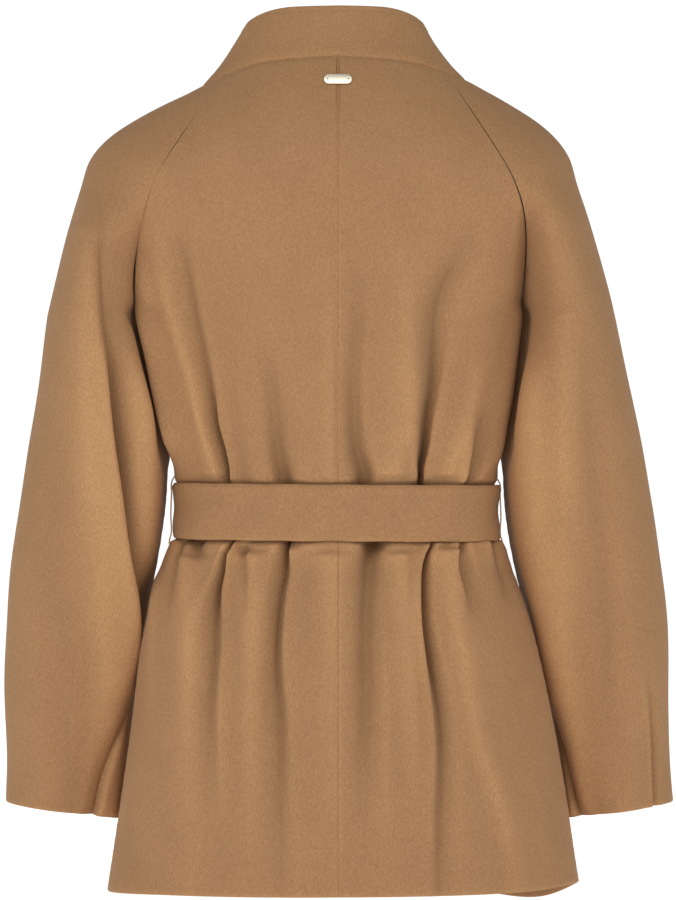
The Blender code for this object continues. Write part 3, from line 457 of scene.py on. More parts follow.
@dataclass(frozen=True)
class Underarm:
    """How sleeve and body lie together below the underarm, in one shared field.

    Behind the arm the two fill out towards each other, more on the wearer's left.
    Behind the side seam the body bellies out into a hollow of the sleeve, and before it the
    sleeve bellies out into a hollow of the body, so no light comes between them.
    """

    heights: tuple[float, ...] = (-390, -361, -324, -290, -262, -235)
    left_x: tuple[float, ...] = (152, 157, 167, 173, 178, 184.5)
    right_x: tuple[float, ...] = (147, 151.5, 158, 162, 165, 168)
    reach: float = 7.0
    touch: float = 3.4

    SWING_Z: ClassVar[tuple[tuple[float, float], ...]] = ((-388.0, -350.0), (-240.0, -222.0))
    SWING_WIDTH: ClassVar[float] = 19.0
    BEHIND_Y: ClassVar[tuple[float, float]] = (22.0, 16.0)
    BEFORE_Y: ClassVar[tuple[float, float]] = (-18.0, 16.0)
    BEFORE_SHARE: ClassVar[float] = 0.85
    FILL_Z: ClassVar[tuple[tuple[float, float], ...]] = ((-400.0, -350.0), (-228.0, -170.0))
    FILL_Y: ClassVar[tuple[float, float]] = (-14.0, 16.0)
    LEFT_FILL: ClassVar[tuple[float, float]] = (20.0, 26.0)
    RIGHT_FILL: ClassVar[float] = 12.0
    JOINT_FILL: ClassVar[float] = 11.0
    JOINT_WIDTH: ClassVar[float] = 10.0
    APART_Z: ClassVar[tuple[float, float]] = (-254.0, -236.0)
    TOUCH_Y: ClassVar[tuple[float, float]] = (14.0, 34.0)
    TOUCH_WIDTH: ClassVar[float] = 13.0

    def move_at(self, points: np.ndarray) -> np.ndarray:
        """Move of each point, as a vector."""
        x, y, z = points.T
        side = np.sign(x)
        joint = np.where(side > 0, curve_through(self.heights, self.left_x, z),
                         curve_through(self.heights, self.right_x, z))
        off = np.abs(x) - joint
        behind = bell(y - self.BEHIND_Y[0], self.BEHIND_Y[1])
        before = bell(y - self.BEFORE_Y[0], self.BEFORE_Y[1])
        move = np.zeros_like(points)
        move[:, 0] = (side * self.reach * (behind - self.BEFORE_SHARE * before)
                      * bell(off, self.SWING_WIDTH) * window(z, *self.SWING_Z))
        apart = 1.0 - smooth_step(*self.APART_Z, z)
        fill = window(z, *self.FILL_Z)
        move[:, 1] = self.fullness(side, off, apart) * fill * smooth_step(*self.FILL_Y, y)
        touch = bell(off, self.TOUCH_WIDTH) * smooth_step(*self.TOUCH_Y, y) * apart * fill
        move[:, 0] -= np.sign(off) * np.where(side > 0, self.touch, 0.0) * touch
        return move

    def fullness(self, side: np.ndarray, off: np.ndarray, apart: np.ndarray) -> np.ndarray:
        """How far the cloth fills out behind the arm.

        Args:
            side: 1 on the wearer's left and -1 on the right.
            off: Distance outwards from where sleeve and body meet.
            apart: Share, 0 to 1, to which the sleeve is clear of the body.

        Returns:
            Distance towards the back, in millimetres.
        """
        depth, width = self.LEFT_FILL
        joint = self.JOINT_FILL + apart * np.where(off > 0, -6.0, 4.0)
        left = depth * bell(off, width) + joint * bell(off, self.JOINT_WIDTH)
        return np.where(side > 0, left,
                        self.RIGHT_FILL * bell(off, np.where(off > 0, self.RIGHT_FILL, width)))


UNDERARM = Underarm()


def shared_drift(points: np.ndarray) -> np.ndarray:
    """Moves that the body and the sleeves share, so that their seams stay closed."""
    x, y, z = points.T
    move = UNDERARM.move_at(points)
    behind, before = smooth_step(-12.0, 14.0, y), smooth_step(-12.0, 14.0, -y)
    for crease in ARMHOLE_CREASES_BACK:
        move[:, 1] -= crease.depth_at(x, z) * behind
    for crease in ARMHOLE_CREASES_FRONT:
        move[:, 1] += crease.depth_at(x, z) * before
    return move


# ------------------------------------------------------------------ finishes

class NodeTree:
    """Short hand for laying out a node tree."""

    def __init__(self, tree: bpy.types.NodeTree) -> None:
        """Start on a tree."""
        self.tree = tree

    def add(self, kind: str, inputs: dict[str, object] | None = None, **settings: object
            ) -> bpy.types.Node:
        """Add a node.

        Args:
            kind: Node type, without its ShaderNode prefix.
            inputs: Values or sockets for its inputs, by name or number.
            **settings: Properties of the node.

        Returns:
            The node.
        """
        node = self.tree.nodes.new(kind if kind.startswith("Node") else "ShaderNode" + kind)
        for name, value in settings.items():
            setattr(node, name, value)
        for name, value in (inputs or {}).items():
            socket = node.inputs[int(name) if name.isdigit() else name]
            if isinstance(value, bpy.types.NodeSocket):
                self.tree.links.new(value, socket)
            else:
                socket.default_value = value
        return node

    def math(self, operation: str, first: object, second: object) -> bpy.types.NodeSocket:
        """Result of a two-number math node."""
        return self.add("Math", {"0": first, "1": second}, operation=operation).outputs[0]

    def noise(self, vector: bpy.types.NodeSocket, scale: float, detail: float = 2.0,
              roughness: float = 0.55) -> bpy.types.NodeSocket:
        """Noise of a scale, centred on zero."""
        node = self.add("TexNoise", {"Vector": vector, "Scale": scale, "Detail": detail,
                                     "Roughness": roughness})
        return self.math("SUBTRACT", node.outputs["Fac"], 0.5)


def new_group(name: str, inputs: dict[str, str], outputs: dict[str, str]
              ) -> tuple[NodeTree, bpy.types.Node, bpy.types.Node]:
    """Start a shader node group.

    Args:
        name: Name of the group.
        inputs: Type of each input socket by its name.
        outputs: Type of each output socket by its name.

    Returns:
        The group's tree, its input node and its output node.
    """
    group = bpy.data.node_groups.new(name, "ShaderNodeTree")
    for socket, kind in inputs.items():
        group.interface.new_socket(socket, in_out="INPUT", socket_type=kind)
    for socket, kind in outputs.items():
        group.interface.new_socket(socket, in_out="OUTPUT", socket_type=kind)
    tree = NodeTree(group)
    return tree, tree.add("NodeGroupInput"), tree.add("NodeGroupOutput")


FIBRE_SCALE, TUFT_SCALE, CLOUD_SCALE, DRIFT_SCALE = 1250.0, 620.0, 46.0, 9.0


def wool_nap_group() -> bpy.types.ShaderNodeTree:
    """Milled wool: fibres of two tones, soft mottle, painted highlights on crests and shade in
    valleys.
    """
    name = "Wool nap"
    if name in bpy.data.node_groups:
        return bpy.data.node_groups[name]
    # The Brushed input sets the strength of the painted fold shading: painted highlight on crests,
    # painted shade in valleys.
    tree, given, result = new_group(
        name,
        {"Colour": "NodeSocketColor", "Fibre Colour": "NodeSocketColor",
         "Speckle": "NodeSocketFloat", "Mottle": "NodeSocketFloat",
         "Edge Wear": "NodeSocketFloat", "Brushed": "NodeSocketFloat"},
        {"Colour": "NodeSocketColor", "Roughness": "NodeSocketFloat", "Height": "NodeSocketFloat"})
    place = tree.add("TexCoord").outputs["Object"]
    # Places stretched along the nap's lie, for the fibres and tufts.
    brushed = tree.add("Mapping", {"Vector": place, "Scale": (1.0, 1.0, 0.6)}).outputs[0]
    fibre = tree.noise(brushed, FIBRE_SCALE, 1.0)
    tuft = tree.noise(brushed, TUFT_SCALE, 2.0)
    cloud = tree.noise(place, CLOUD_SCALE, 3.0)
    drift = tree.noise(place, DRIFT_SCALE, 2.0)

    speckle = tree.math("MULTIPLY", tree.math("ADD", fibre, tuft), given.outputs["Speckle"])
    mottle = tree.math("MULTIPLY", tree.math("ADD", cloud, drift), given.outputs["Mottle"])
    tone = tree.math("ADD", tree.math("ADD", speckle, mottle), 1.0)
    blend = tree.math("ADD", tree.math("MULTIPLY", tuft, 2.2), 0.5)
    mixed = tree.add("Mix", {"0": blend, "6": given.outputs["Colour"],
                             "7": given.outputs["Fibre Colour"]}, data_type="RGBA")
    toned = tree.add("VectorMath", {"0": mixed.outputs[2], "Scale": tone}, operation="SCALE")
    edge = tree.add("Attribute", attribute_name="edge").outputs["Fac"]
    wear = tree.math("MULTIPLY", edge, given.outputs["Edge Wear"])
    # Painted fold shading: the attribute read here paints a highlight on crests and shade in
    # valleys.
    crest = tree.add("Attribute", attribute_name="brushed").outputs["Fac"]
    painted_crest_and_valley = tree.math("MULTIPLY", crest, given.outputs["Brushed"])
    # Edge wear is the cloth's own; the other term is the painted fold shading.
    edge_wear_and_painted_shading = tree.math("ADD", tree.math("ADD", wear, painted_crest_and_valley), 1.0)
    final = tree.add("VectorMath", {"0": toned.outputs[0], "Scale": edge_wear_and_painted_shading}, operation="SCALE")
    rough = tree.math("ADD", tree.math("MULTIPLY", tuft, 0.16), 0.88)
    height = tree.math("ADD", tree.math("MULTIPLY", fibre, 0.4), tuft)
    for socket, value in (("Colour", final.outputs[0]), ("Roughness", rough), ("Height", height)):
        tree.tree.links.new(value, result.inputs[socket])
    return tree.tree


def brushed_metal_group() -> bpy.types.ShaderNodeTree:
    """Fine brushing along X, with faint handling marks."""
    name = "Brushed metal"
    if name in bpy.data.node_groups:
        return bpy.data.node_groups[name]
    tree, given, result = new_group(
        name, {"Colour": "NodeSocketColor", "Marks": "NodeSocketFloat"},
        {"Colour": "NodeSocketColor", "Roughness": "NodeSocketFloat", "Height": "NodeSocketFloat"})
    place = tree.add("TexCoord").outputs["Object"]
    drawn = tree.add("Mapping", {"Vector": place, "Scale": (60.0, 2400.0, 2400.0)}).outputs[0]
    grain = tree.noise(drawn, 1.0, 3.0)
    marks = tree.math("MULTIPLY", tree.noise(place, 380.0, 3.0), given.outputs["Marks"])
    tone = tree.math("ADD", tree.math("ADD", tree.math("MULTIPLY", grain, 0.10), marks), 1.0)
    colour = tree.add("VectorMath", {"0": given.outputs["Colour"], "Scale": tone},
                      operation="SCALE")
    rough = tree.math("ADD", tree.math("MULTIPLY", tree.math("ADD", grain, marks), 0.2), 0.3)
    for socket, value in (("Colour", colour.outputs[0]), ("Roughness", rough), ("Height", grain)):
        tree.tree.links.new(value, result.inputs[socket])
    return tree.tree


@dataclass(frozen=True)
class Finish:
    """A finish: a group of effects with its own values, feeding one Principled shader."""

    name: str
    colour: tuple[float, float, float]
    fibre: tuple[float, float, float]
    speckle: float = 0.34
    mottle: float = 0.1
    edge_wear: float = 0.08
    # Strength of the painted fold shading: painted highlight on crests, painted shade in valleys.
    brushed: float = 0.26
    sheen: float = 0.10
    bump: float = 0.5
    bump_depth: float = 0.0005

    def material(self) -> bpy.types.Material:
        """Build the finish's material, or give the one already built."""
        if self.name in bpy.data.materials:
            return bpy.data.materials[self.name]
        material = bpy.data.materials.new(self.name)
        material.use_nodes = True
        tree = NodeTree(material.node_tree)
        shader = material.node_tree.nodes["Principled BSDF"]
        effect = self.effect(tree)
        bump = tree.add("Bump", {"Strength": self.bump, "Distance": self.bump_depth,
                                 "Height": effect.outputs["Height"]})
        for value, socket in ((effect.outputs["Colour"], "Base Color"),
                              (effect.outputs["Roughness"], "Roughness"),
                              (bump.outputs["Normal"], "Normal")):
            material.node_tree.links.new(value, shader.inputs[socket])
        for socket, value in self.shader_values().items():
            shader.inputs[socket].default_value = value
        return material

    def effect(self, tree: NodeTree) -> bpy.types.Node:
        """Add the finish's group of effects, with its values."""
        # Brushed is the painted fold shading's strength: painted highlight on crests, painted shade
        # in valleys.
        return tree.add("Group", {"Colour": (*self.colour, 1.0), "Fibre Colour": (*self.fibre, 1.0),
                                  "Speckle": self.speckle, "Mottle": self.mottle,
                                  "Edge Wear": self.edge_wear, "Brushed": self.brushed},
                        node_tree=wool_nap_group())

    def shader_values(self) -> dict[str, object]:
        """Values that are the same all over, for the shader's own sockets."""
        return {"Sheen Weight": self.sheen, "Sheen Roughness": 0.45,
                "Sheen Tint": (1.0, 0.80, 0.62, 1.0), "Specular IOR Level": 0.25}


@dataclass(frozen=True)
class MetalFinish(Finish):
    """Brushed pale gold."""

    marks: float = 0.05

    def effect(self, tree: NodeTree) -> bpy.types.Node:
        """Add the brushing, with its values."""
        return tree.add("Group", {"Colour": (*self.colour, 1.0), "Marks": self.marks},
                        node_tree=brushed_metal_group())

    def shader_values(self) -> dict[str, object]:
        """Values that are the same all over, for the shader's own sockets."""
        return {"Metallic": 1.0}


COAT_WOOL = Finish("coat_wool", (0.355, 0.182, 0.077), (0.385, 0.215, 0.102))
BELT_WOOL = Finish("belt_wool", (0.350, 0.178, 0.075), (0.380, 0.211, 0.100), speckle=0.36)
THREAD = Finish("sewing_thread", (0.45, 0.29, 0.165), (0.52, 0.36, 0.22), speckle=0.3,
                bump=0.3, bump_depth=0.0001)
STITCH = Finish("stitch_thread", (0.30, 0.165, 0.08), (0.36, 0.21, 0.11), speckle=0.3,
                bump=0.3, bump_depth=0.0001)
PALE_GOLD = MetalFinish("pale_gold", (0.97, 0.88, 0.70), (0.97, 0.88, 0.70), bump=0.15,
                        bump_depth=0.0001)


# ------------------------------------------------------------------ cloth pieces

@dataclass(frozen=True)
class Cut:
    """The flat size a piece of cloth was cut to, in metres and square metres."""

    width: float
    length: float
    area: float | None = None
    held: str = "hung"
    rests_on: tuple[str, ...] = ()


@dataclass
class ClothPiece:
    """A piece of the coat's cloth, made from a merged copy of its solid.

    cut_out makes the mesh and plans a move for each point of its outer sheet. sew then evens
    out the moves of neighbouring edges, and dress makes them. Lengths are in millimetres.
    """

    node: str
    cut: Cut
    finish: Finish = COAT_WOOL
    axis: tuple[float, float] = (0.0, 0.0)
    levels: int = 3
    groove: float = 0.7
    pucker: float = 0.22
    edge_radius: float = 1.3
    ripple: Ripple = Ripple(3, 0.5)

    piece: bpy.types.Object = field(init=False, repr=False)
    outer: np.ndarray = field(init=False, repr=False)
    place: np.ndarray = field(init=False, repr=False)
    moves: np.ndarray = field(init=False, repr=False)
    border: np.ndarray = field(init=False, repr=False)
    border_moves: np.ndarray = field(init=False, repr=False)
    rim_index: np.ndarray = field(init=False, repr=False)
    rim_distance: np.ndarray = field(init=False, repr=False)

    RIM_ANGLE: ClassVar[float] = math.radians(55.0)
    REFINED: ClassVar[tuple[float, ...]] = (13.0, 7.0)
    LEVEL_EDGE: ClassVar[float] = 0.6
    LEAST_DEPTH: ClassVar[float] = 0.5
    SEAM_TOUCH: ClassVar[float] = 0.3
    RIM_SHARE: ClassVar[float] = 0.14
    GROOVE_WIDTH: ClassVar[float] = 2.6
    PRESSED: ClassVar[tuple[float, float, float]] = (0.45, 8.0, 4.5)
    PUCKER_REACH: ClassVar[float] = 11.0
    EDGE_BAND: ClassVar[float] = 3.0
    RIPPLE_STARTS: ClassVar[float] = 30.0
    # Fold heights, in millimetres, at which the painted highlight on crests and the painted shade
    # in valleys are full.
    PAINTED_CREST_HIGHLIGHT: ClassVar[float] = 7.0
    PAINTED_VALLEY_SHADE: ClassVar[float] = 11.0

    def cut_out(self) -> None:
        """Make the piece's mesh and plan the moves of its outer sheet."""
        self.piece = self.copy_solid()
        self.mark_layers(self.piece.data)
        apply_modifier(self.piece, "SUBSURF", levels=self.levels, render_levels=self.levels)
        for reach in self.REFINED:
            self.refine(self.piece.data, reach)
        self.plan(self.piece.data)

    def dress(self) -> bpy.types.Object:
        piece = self.piece
        self.move_points(piece.data)
        self.turn_edges(piece.data)
        piece.data.materials.clear()
        piece.data.materials.append(self.finish.material())
        piece.data.polygons.foreach_set("material_index", np.zeros(len(piece.data.polygons), int))
        piece.data.shade_smooth()
        self.declare(piece)
        LOG.info("%s: %d faces", piece.name, len(piece.data.polygons))
        return piece

    def copy_solid(self) -> bpy.types.Object:
        """Copy the solid's triangles, merge their doubles and join them to quads."""
        mesh = frame["nodes"][self.node].data.copy()
        piece = bpy.data.objects.new(self.node + "_cloth", mesh)
        bpy.context.scene.collection.objects.link(piece)
        mesh.name = piece.name
        activate(piece)
        bpy.ops.object.mode_set(mode="EDIT")
        bpy.ops.mesh.select_all(action="SELECT")
        bpy.ops.mesh.remove_doubles(threshold=1e-5)
        bpy.ops.mesh.tris_convert_to_quads(face_threshold=math.pi, shape_threshold=math.pi,
                                           topology_influence=1.0)
        bpy.ops.object.mode_set(mode="OBJECT")
        return piece

    def mark_layers(self, mesh: bpy.types.Mesh) -> None:
        """Sort the wall's faces into outer, rim and inner, and crease the rim's edges."""
        shape = bmesh.new()
        shape.from_mesh(mesh)
        shape.normal_update()
        region: dict[bmesh.types.BMFace, int] = {}
        regions: list[list[bmesh.types.BMFace]] = []
        for seed in shape.faces:
            if seed in region:
                continue
            region[seed] = len(regions)
            waiting, members = [seed], []
            while waiting:
                face = waiting.pop()
                members.append(face)
                for edge in face.edges:
                    if edge.calc_face_angle(math.pi) > self.RIM_ANGLE:
                        continue
                    for other in edge.link_faces:
                        if other not in region:
                            region[other] = len(regions)
                            waiting.append(other)
            regions.append(members)
        regions.sort(key=lambda faces: -sum(face.calc_area() for face in faces))
        axis = Vector((*self.axis, 0.0)) * MM
        for number, faces in enumerate(regions):
            outward = sum(face.normal.dot((face.calc_center_median() - axis) * Vector((1, 1, 0)))
                          * face.calc_area() for face in faces)
            layer = Layer.RIM if number > 1 else Layer.OUTER if outward > 0 else Layer.INNER
            for face in faces:
                face.material_index = layer.value
        crease = shape.edges.layers.float.new("crease_edge")
        for edge in shape.edges:
            if edge.calc_face_angle(0.0) > self.RIM_ANGLE:
                edge[crease] = 1.0
        shape.to_mesh(mesh)
        shape.free()

    def sharp_folds(self) -> tuple[Crease, ...]:
        """Folds whose steep sides need more points across than the rest of the cloth."""
        return ()

    def refine(self, mesh: bpy.types.Mesh, reach: float) -> None:
        """Halve the outer sheet's edges that run across a sharp fold.

        Args:
            mesh: The piece's mesh.
            reach: Distance from the fold's path, in millimetres, to which edges are halved.
        """
        folds = self.sharp_folds()
        if not folds:
            return
        shape = bmesh.new()
        shape.from_mesh(mesh)
        shape.normal_update()
        edges = [edge for edge in shape.edges
                 if all(face.material_index == Layer.OUTER.value for face in edge.link_faces)
                 and abs(edge.verts[0].co.z - edge.verts[1].co.z)
                 < self.LEVEL_EDGE * edge.calc_length()]
        middle = np.array([(edge.verts[0].co + edge.verts[1].co) / (2 * MM) for edge in edges])
        fold_near = np.zeros(len(edges), bool)
        for fold in folds:
            off, _, depth = fold.measure(middle[:, 0], middle[:, 2])
            fold_near |= (np.abs(off) < reach) & (depth > self.LEAST_DEPTH)
        fold_near &= self.back_share(middle) > 0.5
        old = set(shape.verts)
        cut = [edge for edge, near in zip(edges, fold_near) if near]
        bmesh.ops.subdivide_edges(shape, edges=cut, cuts=1)
        for vert in shape.verts:
            ends = [edge.other_vert(vert) for edge in vert.link_edges] if vert not in old else []
            ends = [end for end in ends if end in old]
            if len(ends) == 2:
                first, last = ends
                along = last.co - first.co
                leave = along - first.normal * along.dot(first.normal)
                arrive = along - last.normal * along.dot(last.normal)
                vert.co += (leave - arrive) / 8
        shape.to_mesh(mesh)
        shape.free()

    def back_share(self, place: np.ndarray) -> np.ndarray:
        """Share, 0 to 1, to which the back's folds act at each place."""
        return np.ones(len(place))

    def plan(self, mesh: bpy.types.Mesh) -> None:
        """Work out the relief of the outer sheet, as one move for each of its points."""
        points = read_points(mesh)
        corners = np.empty(len(mesh.loops), int)
        mesh.loops.foreach_get("vertex_index", corners)
        faces = len(mesh.polygons)
        layer, sides, area = np.empty(faces, int), np.empty(faces, int), np.empty(faces)
        facing = np.empty(3 * faces)
        mesh.polygons.foreach_get("material_index", layer)
        mesh.polygons.foreach_get("loop_total", sides)
        mesh.polygons.foreach_get("area", area)
        mesh.polygons.foreach_get("normal", facing)
        corner_layer = np.repeat(layer, sides)
        is_outer = corner_layer == Layer.OUTER.value
        outer = np.unique(corners[is_outer])
        border = np.intersect1d(outer, corners[corner_layer == Layer.RIM.value])
        push = np.repeat(facing.reshape(-1, 3) * area[:, None], sides, axis=0)
        normals = np.zeros_like(points)
        np.add.at(normals, corners[is_outer], push[is_outer])
        normals = normals[outer]
        normals /= np.maximum(np.linalg.norm(normals, axis=1, keepdims=True), 1e-12)

        place = points[outer]
        self.outer, self.place, self.border = outer, place, points[border]
        self.rim_index, self.rim_distance = nearest(place, self.border)
        rim_place = self.border[self.rim_index]
        lift = self.relief(place, rim_place, self.rim_distance)
        # Painted fold shading: colour made paler on crests and darker in valleys, standing in for
        # the light and shade the folds catch.
        brushed = np.zeros(len(points))
        brushed[outer] = (np.clip(lift / self.PAINTED_CREST_HIGHLIGHT, 0.0, 1.0)
                          - np.clip(-lift / self.PAINTED_VALLEY_SHADE, 0.0, 1.0))
        store(mesh, "brushed", brushed)
        lift = lift + self.seam_relief(rim_place, self.rim_distance)
        self.moves = normals * lift[:, None] + self.drift(place)
        self.border_moves = self.moves[np.searchsorted(outer, border)]

    def move_points(self, mesh: bpy.types.Mesh) -> None:
        """Move the outer sheet as planned, and carry the rim and the inner sheet with it."""
        points = read_points(mesh)
        follower = np.setdiff1d(np.arange(len(points)), self.outer)
        partner, _ = nearest(points[follower], self.place)
        points[self.outer] += self.moves
        points[follower] += self.moves[partner]
        write_points(mesh, points)
        edge = np.zeros(len(points))
        edge[self.outer] = bell(self.rim_distance, self.EDGE_BAND)
        edge[follower] = edge[self.outer][partner]
        store(mesh, "edge", edge)

    def relief(self, place: np.ndarray, rim: np.ndarray, distance: np.ndarray) -> np.ndarray:
        """How far each point of the outer sheet moves out, in millimetres."""
        return self.ripple.at(place) * smooth_step(0.0, self.RIPPLE_STARTS, distance)

    def drift(self, place: np.ndarray) -> np.ndarray:
        """Moves of the outer sheet that neighbours share, as vectors in millimetres."""
        return np.zeros_like(place)

    def is_seam(self, rim: np.ndarray) -> np.ndarray:
        """Share, 0 to 1, to which a place on the rim is a sewn seam and not a turned edge."""
        return np.ones(len(rim))

    def seam_relief(self, rim: np.ndarray, distance: np.ndarray) -> np.ndarray:
        """The groove along a sewn seam, its pressed ridge and its slight puckers."""
        seam = self.is_seam(rim)
        pull = np.sin(rim[:, 2] * 0.47 + 2.1 * np.sin(rim[:, 2] * 0.061) + rim[:, 0] * 0.19)
        share, away, width = self.PRESSED
        return seam * (-self.groove * bell(distance, self.GROOVE_WIDTH)
                       + share * self.groove * bell(distance - away, width)
                       + self.pucker * pull * bell(distance, self.PUCKER_REACH))

    def turn_edges(self, mesh: bpy.types.Mesh) -> None:
        """Round the wall's rim, and let the middle of a sewn rim touch its neighbour."""
        shape = bmesh.new()
        shape.from_mesh(mesh)
        shape.normal_update()
        rim = {face for face in shape.faces if face.material_index == Layer.RIM.value}
        border = {vert for face in rim for vert in face.verts
                  if any(other not in rim for other in vert.link_faces)}
        moves: dict[bmesh.types.BMVert, Vector] = {}
        for vert in {vert for face in rim for vert in face.verts}:
            outward = Vector()
            for face in vert.link_faces:
                if face in rim:
                    outward += face.normal
            outward.normalize()
            if vert in border:
                reach = -self.edge_radius
            elif any(edge.other_vert(vert) in border for edge in vert.link_edges):
                reach = -self.RIM_SHARE * self.edge_radius
            else:
                reach = self.SEAM_TOUCH
            moves[vert] = outward * reach * MM
        for vert, move in moves.items():
            vert.co += move
        shape.to_mesh(mesh)
        shape.free()

    def declare(self, piece: bpy.types.Object) -> None:
        """Hang the piece on the body and hide the solid it stands for."""
        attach(piece, BODY)
        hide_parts(self.node)


SEAM_WIDTH = 1.0
SEAM_EASE = 12.0


def sew(pieces: Sequence[ClothPiece]) -> None:
    """Make edges that are sewn together move alike, and ease each piece towards its seams."""
    places = np.concatenate([piece.border for piece in pieces])
    moves = np.concatenate([piece.border_moves for piece in pieces])
    tree = point_tree(places)
    met = [[found[1] for found in tree.find_range(place, SEAM_WIDTH)] for place in places]
    shared = np.array([moves[group].mean(axis=0) for group in met])
    start = 0
    for piece in pieces:
        own = slice(start, start + len(piece.border))
        change = (shared[own] - moves[own]) * piece.is_seam(piece.border)[:, None]
        fade = bell(piece.rim_distance, SEAM_EASE)
        piece.moves += change[piece.rim_index] * fade[:, None]
        start = own.stop


BELT_ZONE = (-446.0, -390.0)
SWELL_ABOVE, SWELL_BELOW, SWELL_REACH = 3.2, 4.6, 17.0
LAP_X = 52.0


def clear_belt(lift: np.ndarray, z: np.ndarray) -> np.ndarray:
    """Keep the cloth from coming out under the belt, and let it swell just past its edges."""
    low, high = BELT_ZONE
    under = window(z, (low - 2.0, low + 4.0), (high - 4.0, high + 2.0))
    past = np.maximum(np.maximum(z - high, low - z), 0.0)
    swell = np.where(z > 0.5 * (low + high), SWELL_ABOVE, SWELL_BELOW) * bell(past, SWELL_REACH)
    return np.minimum(lift, 0.0) * under + lift * (1.0 - under) + swell * (1.0 - under)


@dataclass
class BodyPanel(ClothPiece):
    """A back or a front of the coat."""

    creases: tuple[Crease, ...] = BACK_CREASES
    lap_x: float | None = None

    HEM_Z: ClassVar[float] = -752.0
    COLLAR_Z: ClassVar[float] = -66.0
    FRONT_EDGE_X: ClassVar[float] = 58.0
    EDGE_WITHIN: ClassVar[tuple[float, float, float]] = (75.0, -30.0, -62.0)
    EDGE_REACH: ClassVar[float] = 42.0

    def sharp_folds(self) -> tuple[Crease, ...]:
        """The sharp ones of the panel's folds."""
        return tuple(crease for crease in self.creases if crease.kind is Fold.SHARP)

    def relief(self, place: np.ndarray, rim: np.ndarray, distance: np.ndarray) -> np.ndarray:
        """Folds from the panel's table, under the ripple."""
        lift = super().relief(place, rim, distance)
        for crease in self.creases:
            lift -= crease.depth_at(place[:, 0], place[:, 2])
        return clear_belt(lift, place[:, 2])

    def drift(self, place: np.ndarray) -> np.ndarray:
        """The armhole's valleys, the rest of the underarm, and the folds' leaning sides."""
        move = shared_drift(place)
        for crease in self.creases:
            move[:, 0] += crease.lean_at(place[:, 0], place[:, 2])
        if self.lap_x is not None:
            move[:, 0] += self.straighten(place, self.lap_x)
        return move

    def straighten(self, place: np.ndarray, lap_x: float) -> np.ndarray:
        """Sideways moves that draw the front's own edge straight below the collar."""
        x, y, z = self.border.T
        most_x, most_y, most_z = self.EDGE_WITHIN
        edge = self.border[(y < most_y) & (np.abs(x) < most_x) & (z < most_z) & (z > self.HEM_Z)]
        edge = edge[np.argsort(edge[:, 2])]
        edge_x = np.interp(place[:, 2], edge[:, 2], edge[:, 0])
        near = bell(place[:, 0] - edge_x, self.EDGE_REACH) * smooth_step(0.0, 30.0, -place[:, 1])
        return (lap_x - edge_x) * near * (1.0 - smooth_step(-78.0, -60.0, place[:, 2]))

    def is_seam(self, rim: np.ndarray) -> np.ndarray:
        """Every edge is sewn but the hem and the front edge."""
        front_edge = ((rim[:, 1] < 0) & (np.abs(rim[:, 0]) < self.FRONT_EDGE_X)
                      & (rim[:, 2] < self.COLLAR_Z))
        return np.where((rim[:, 2] < self.HEM_Z) | front_edge, 0.0, 1.0)


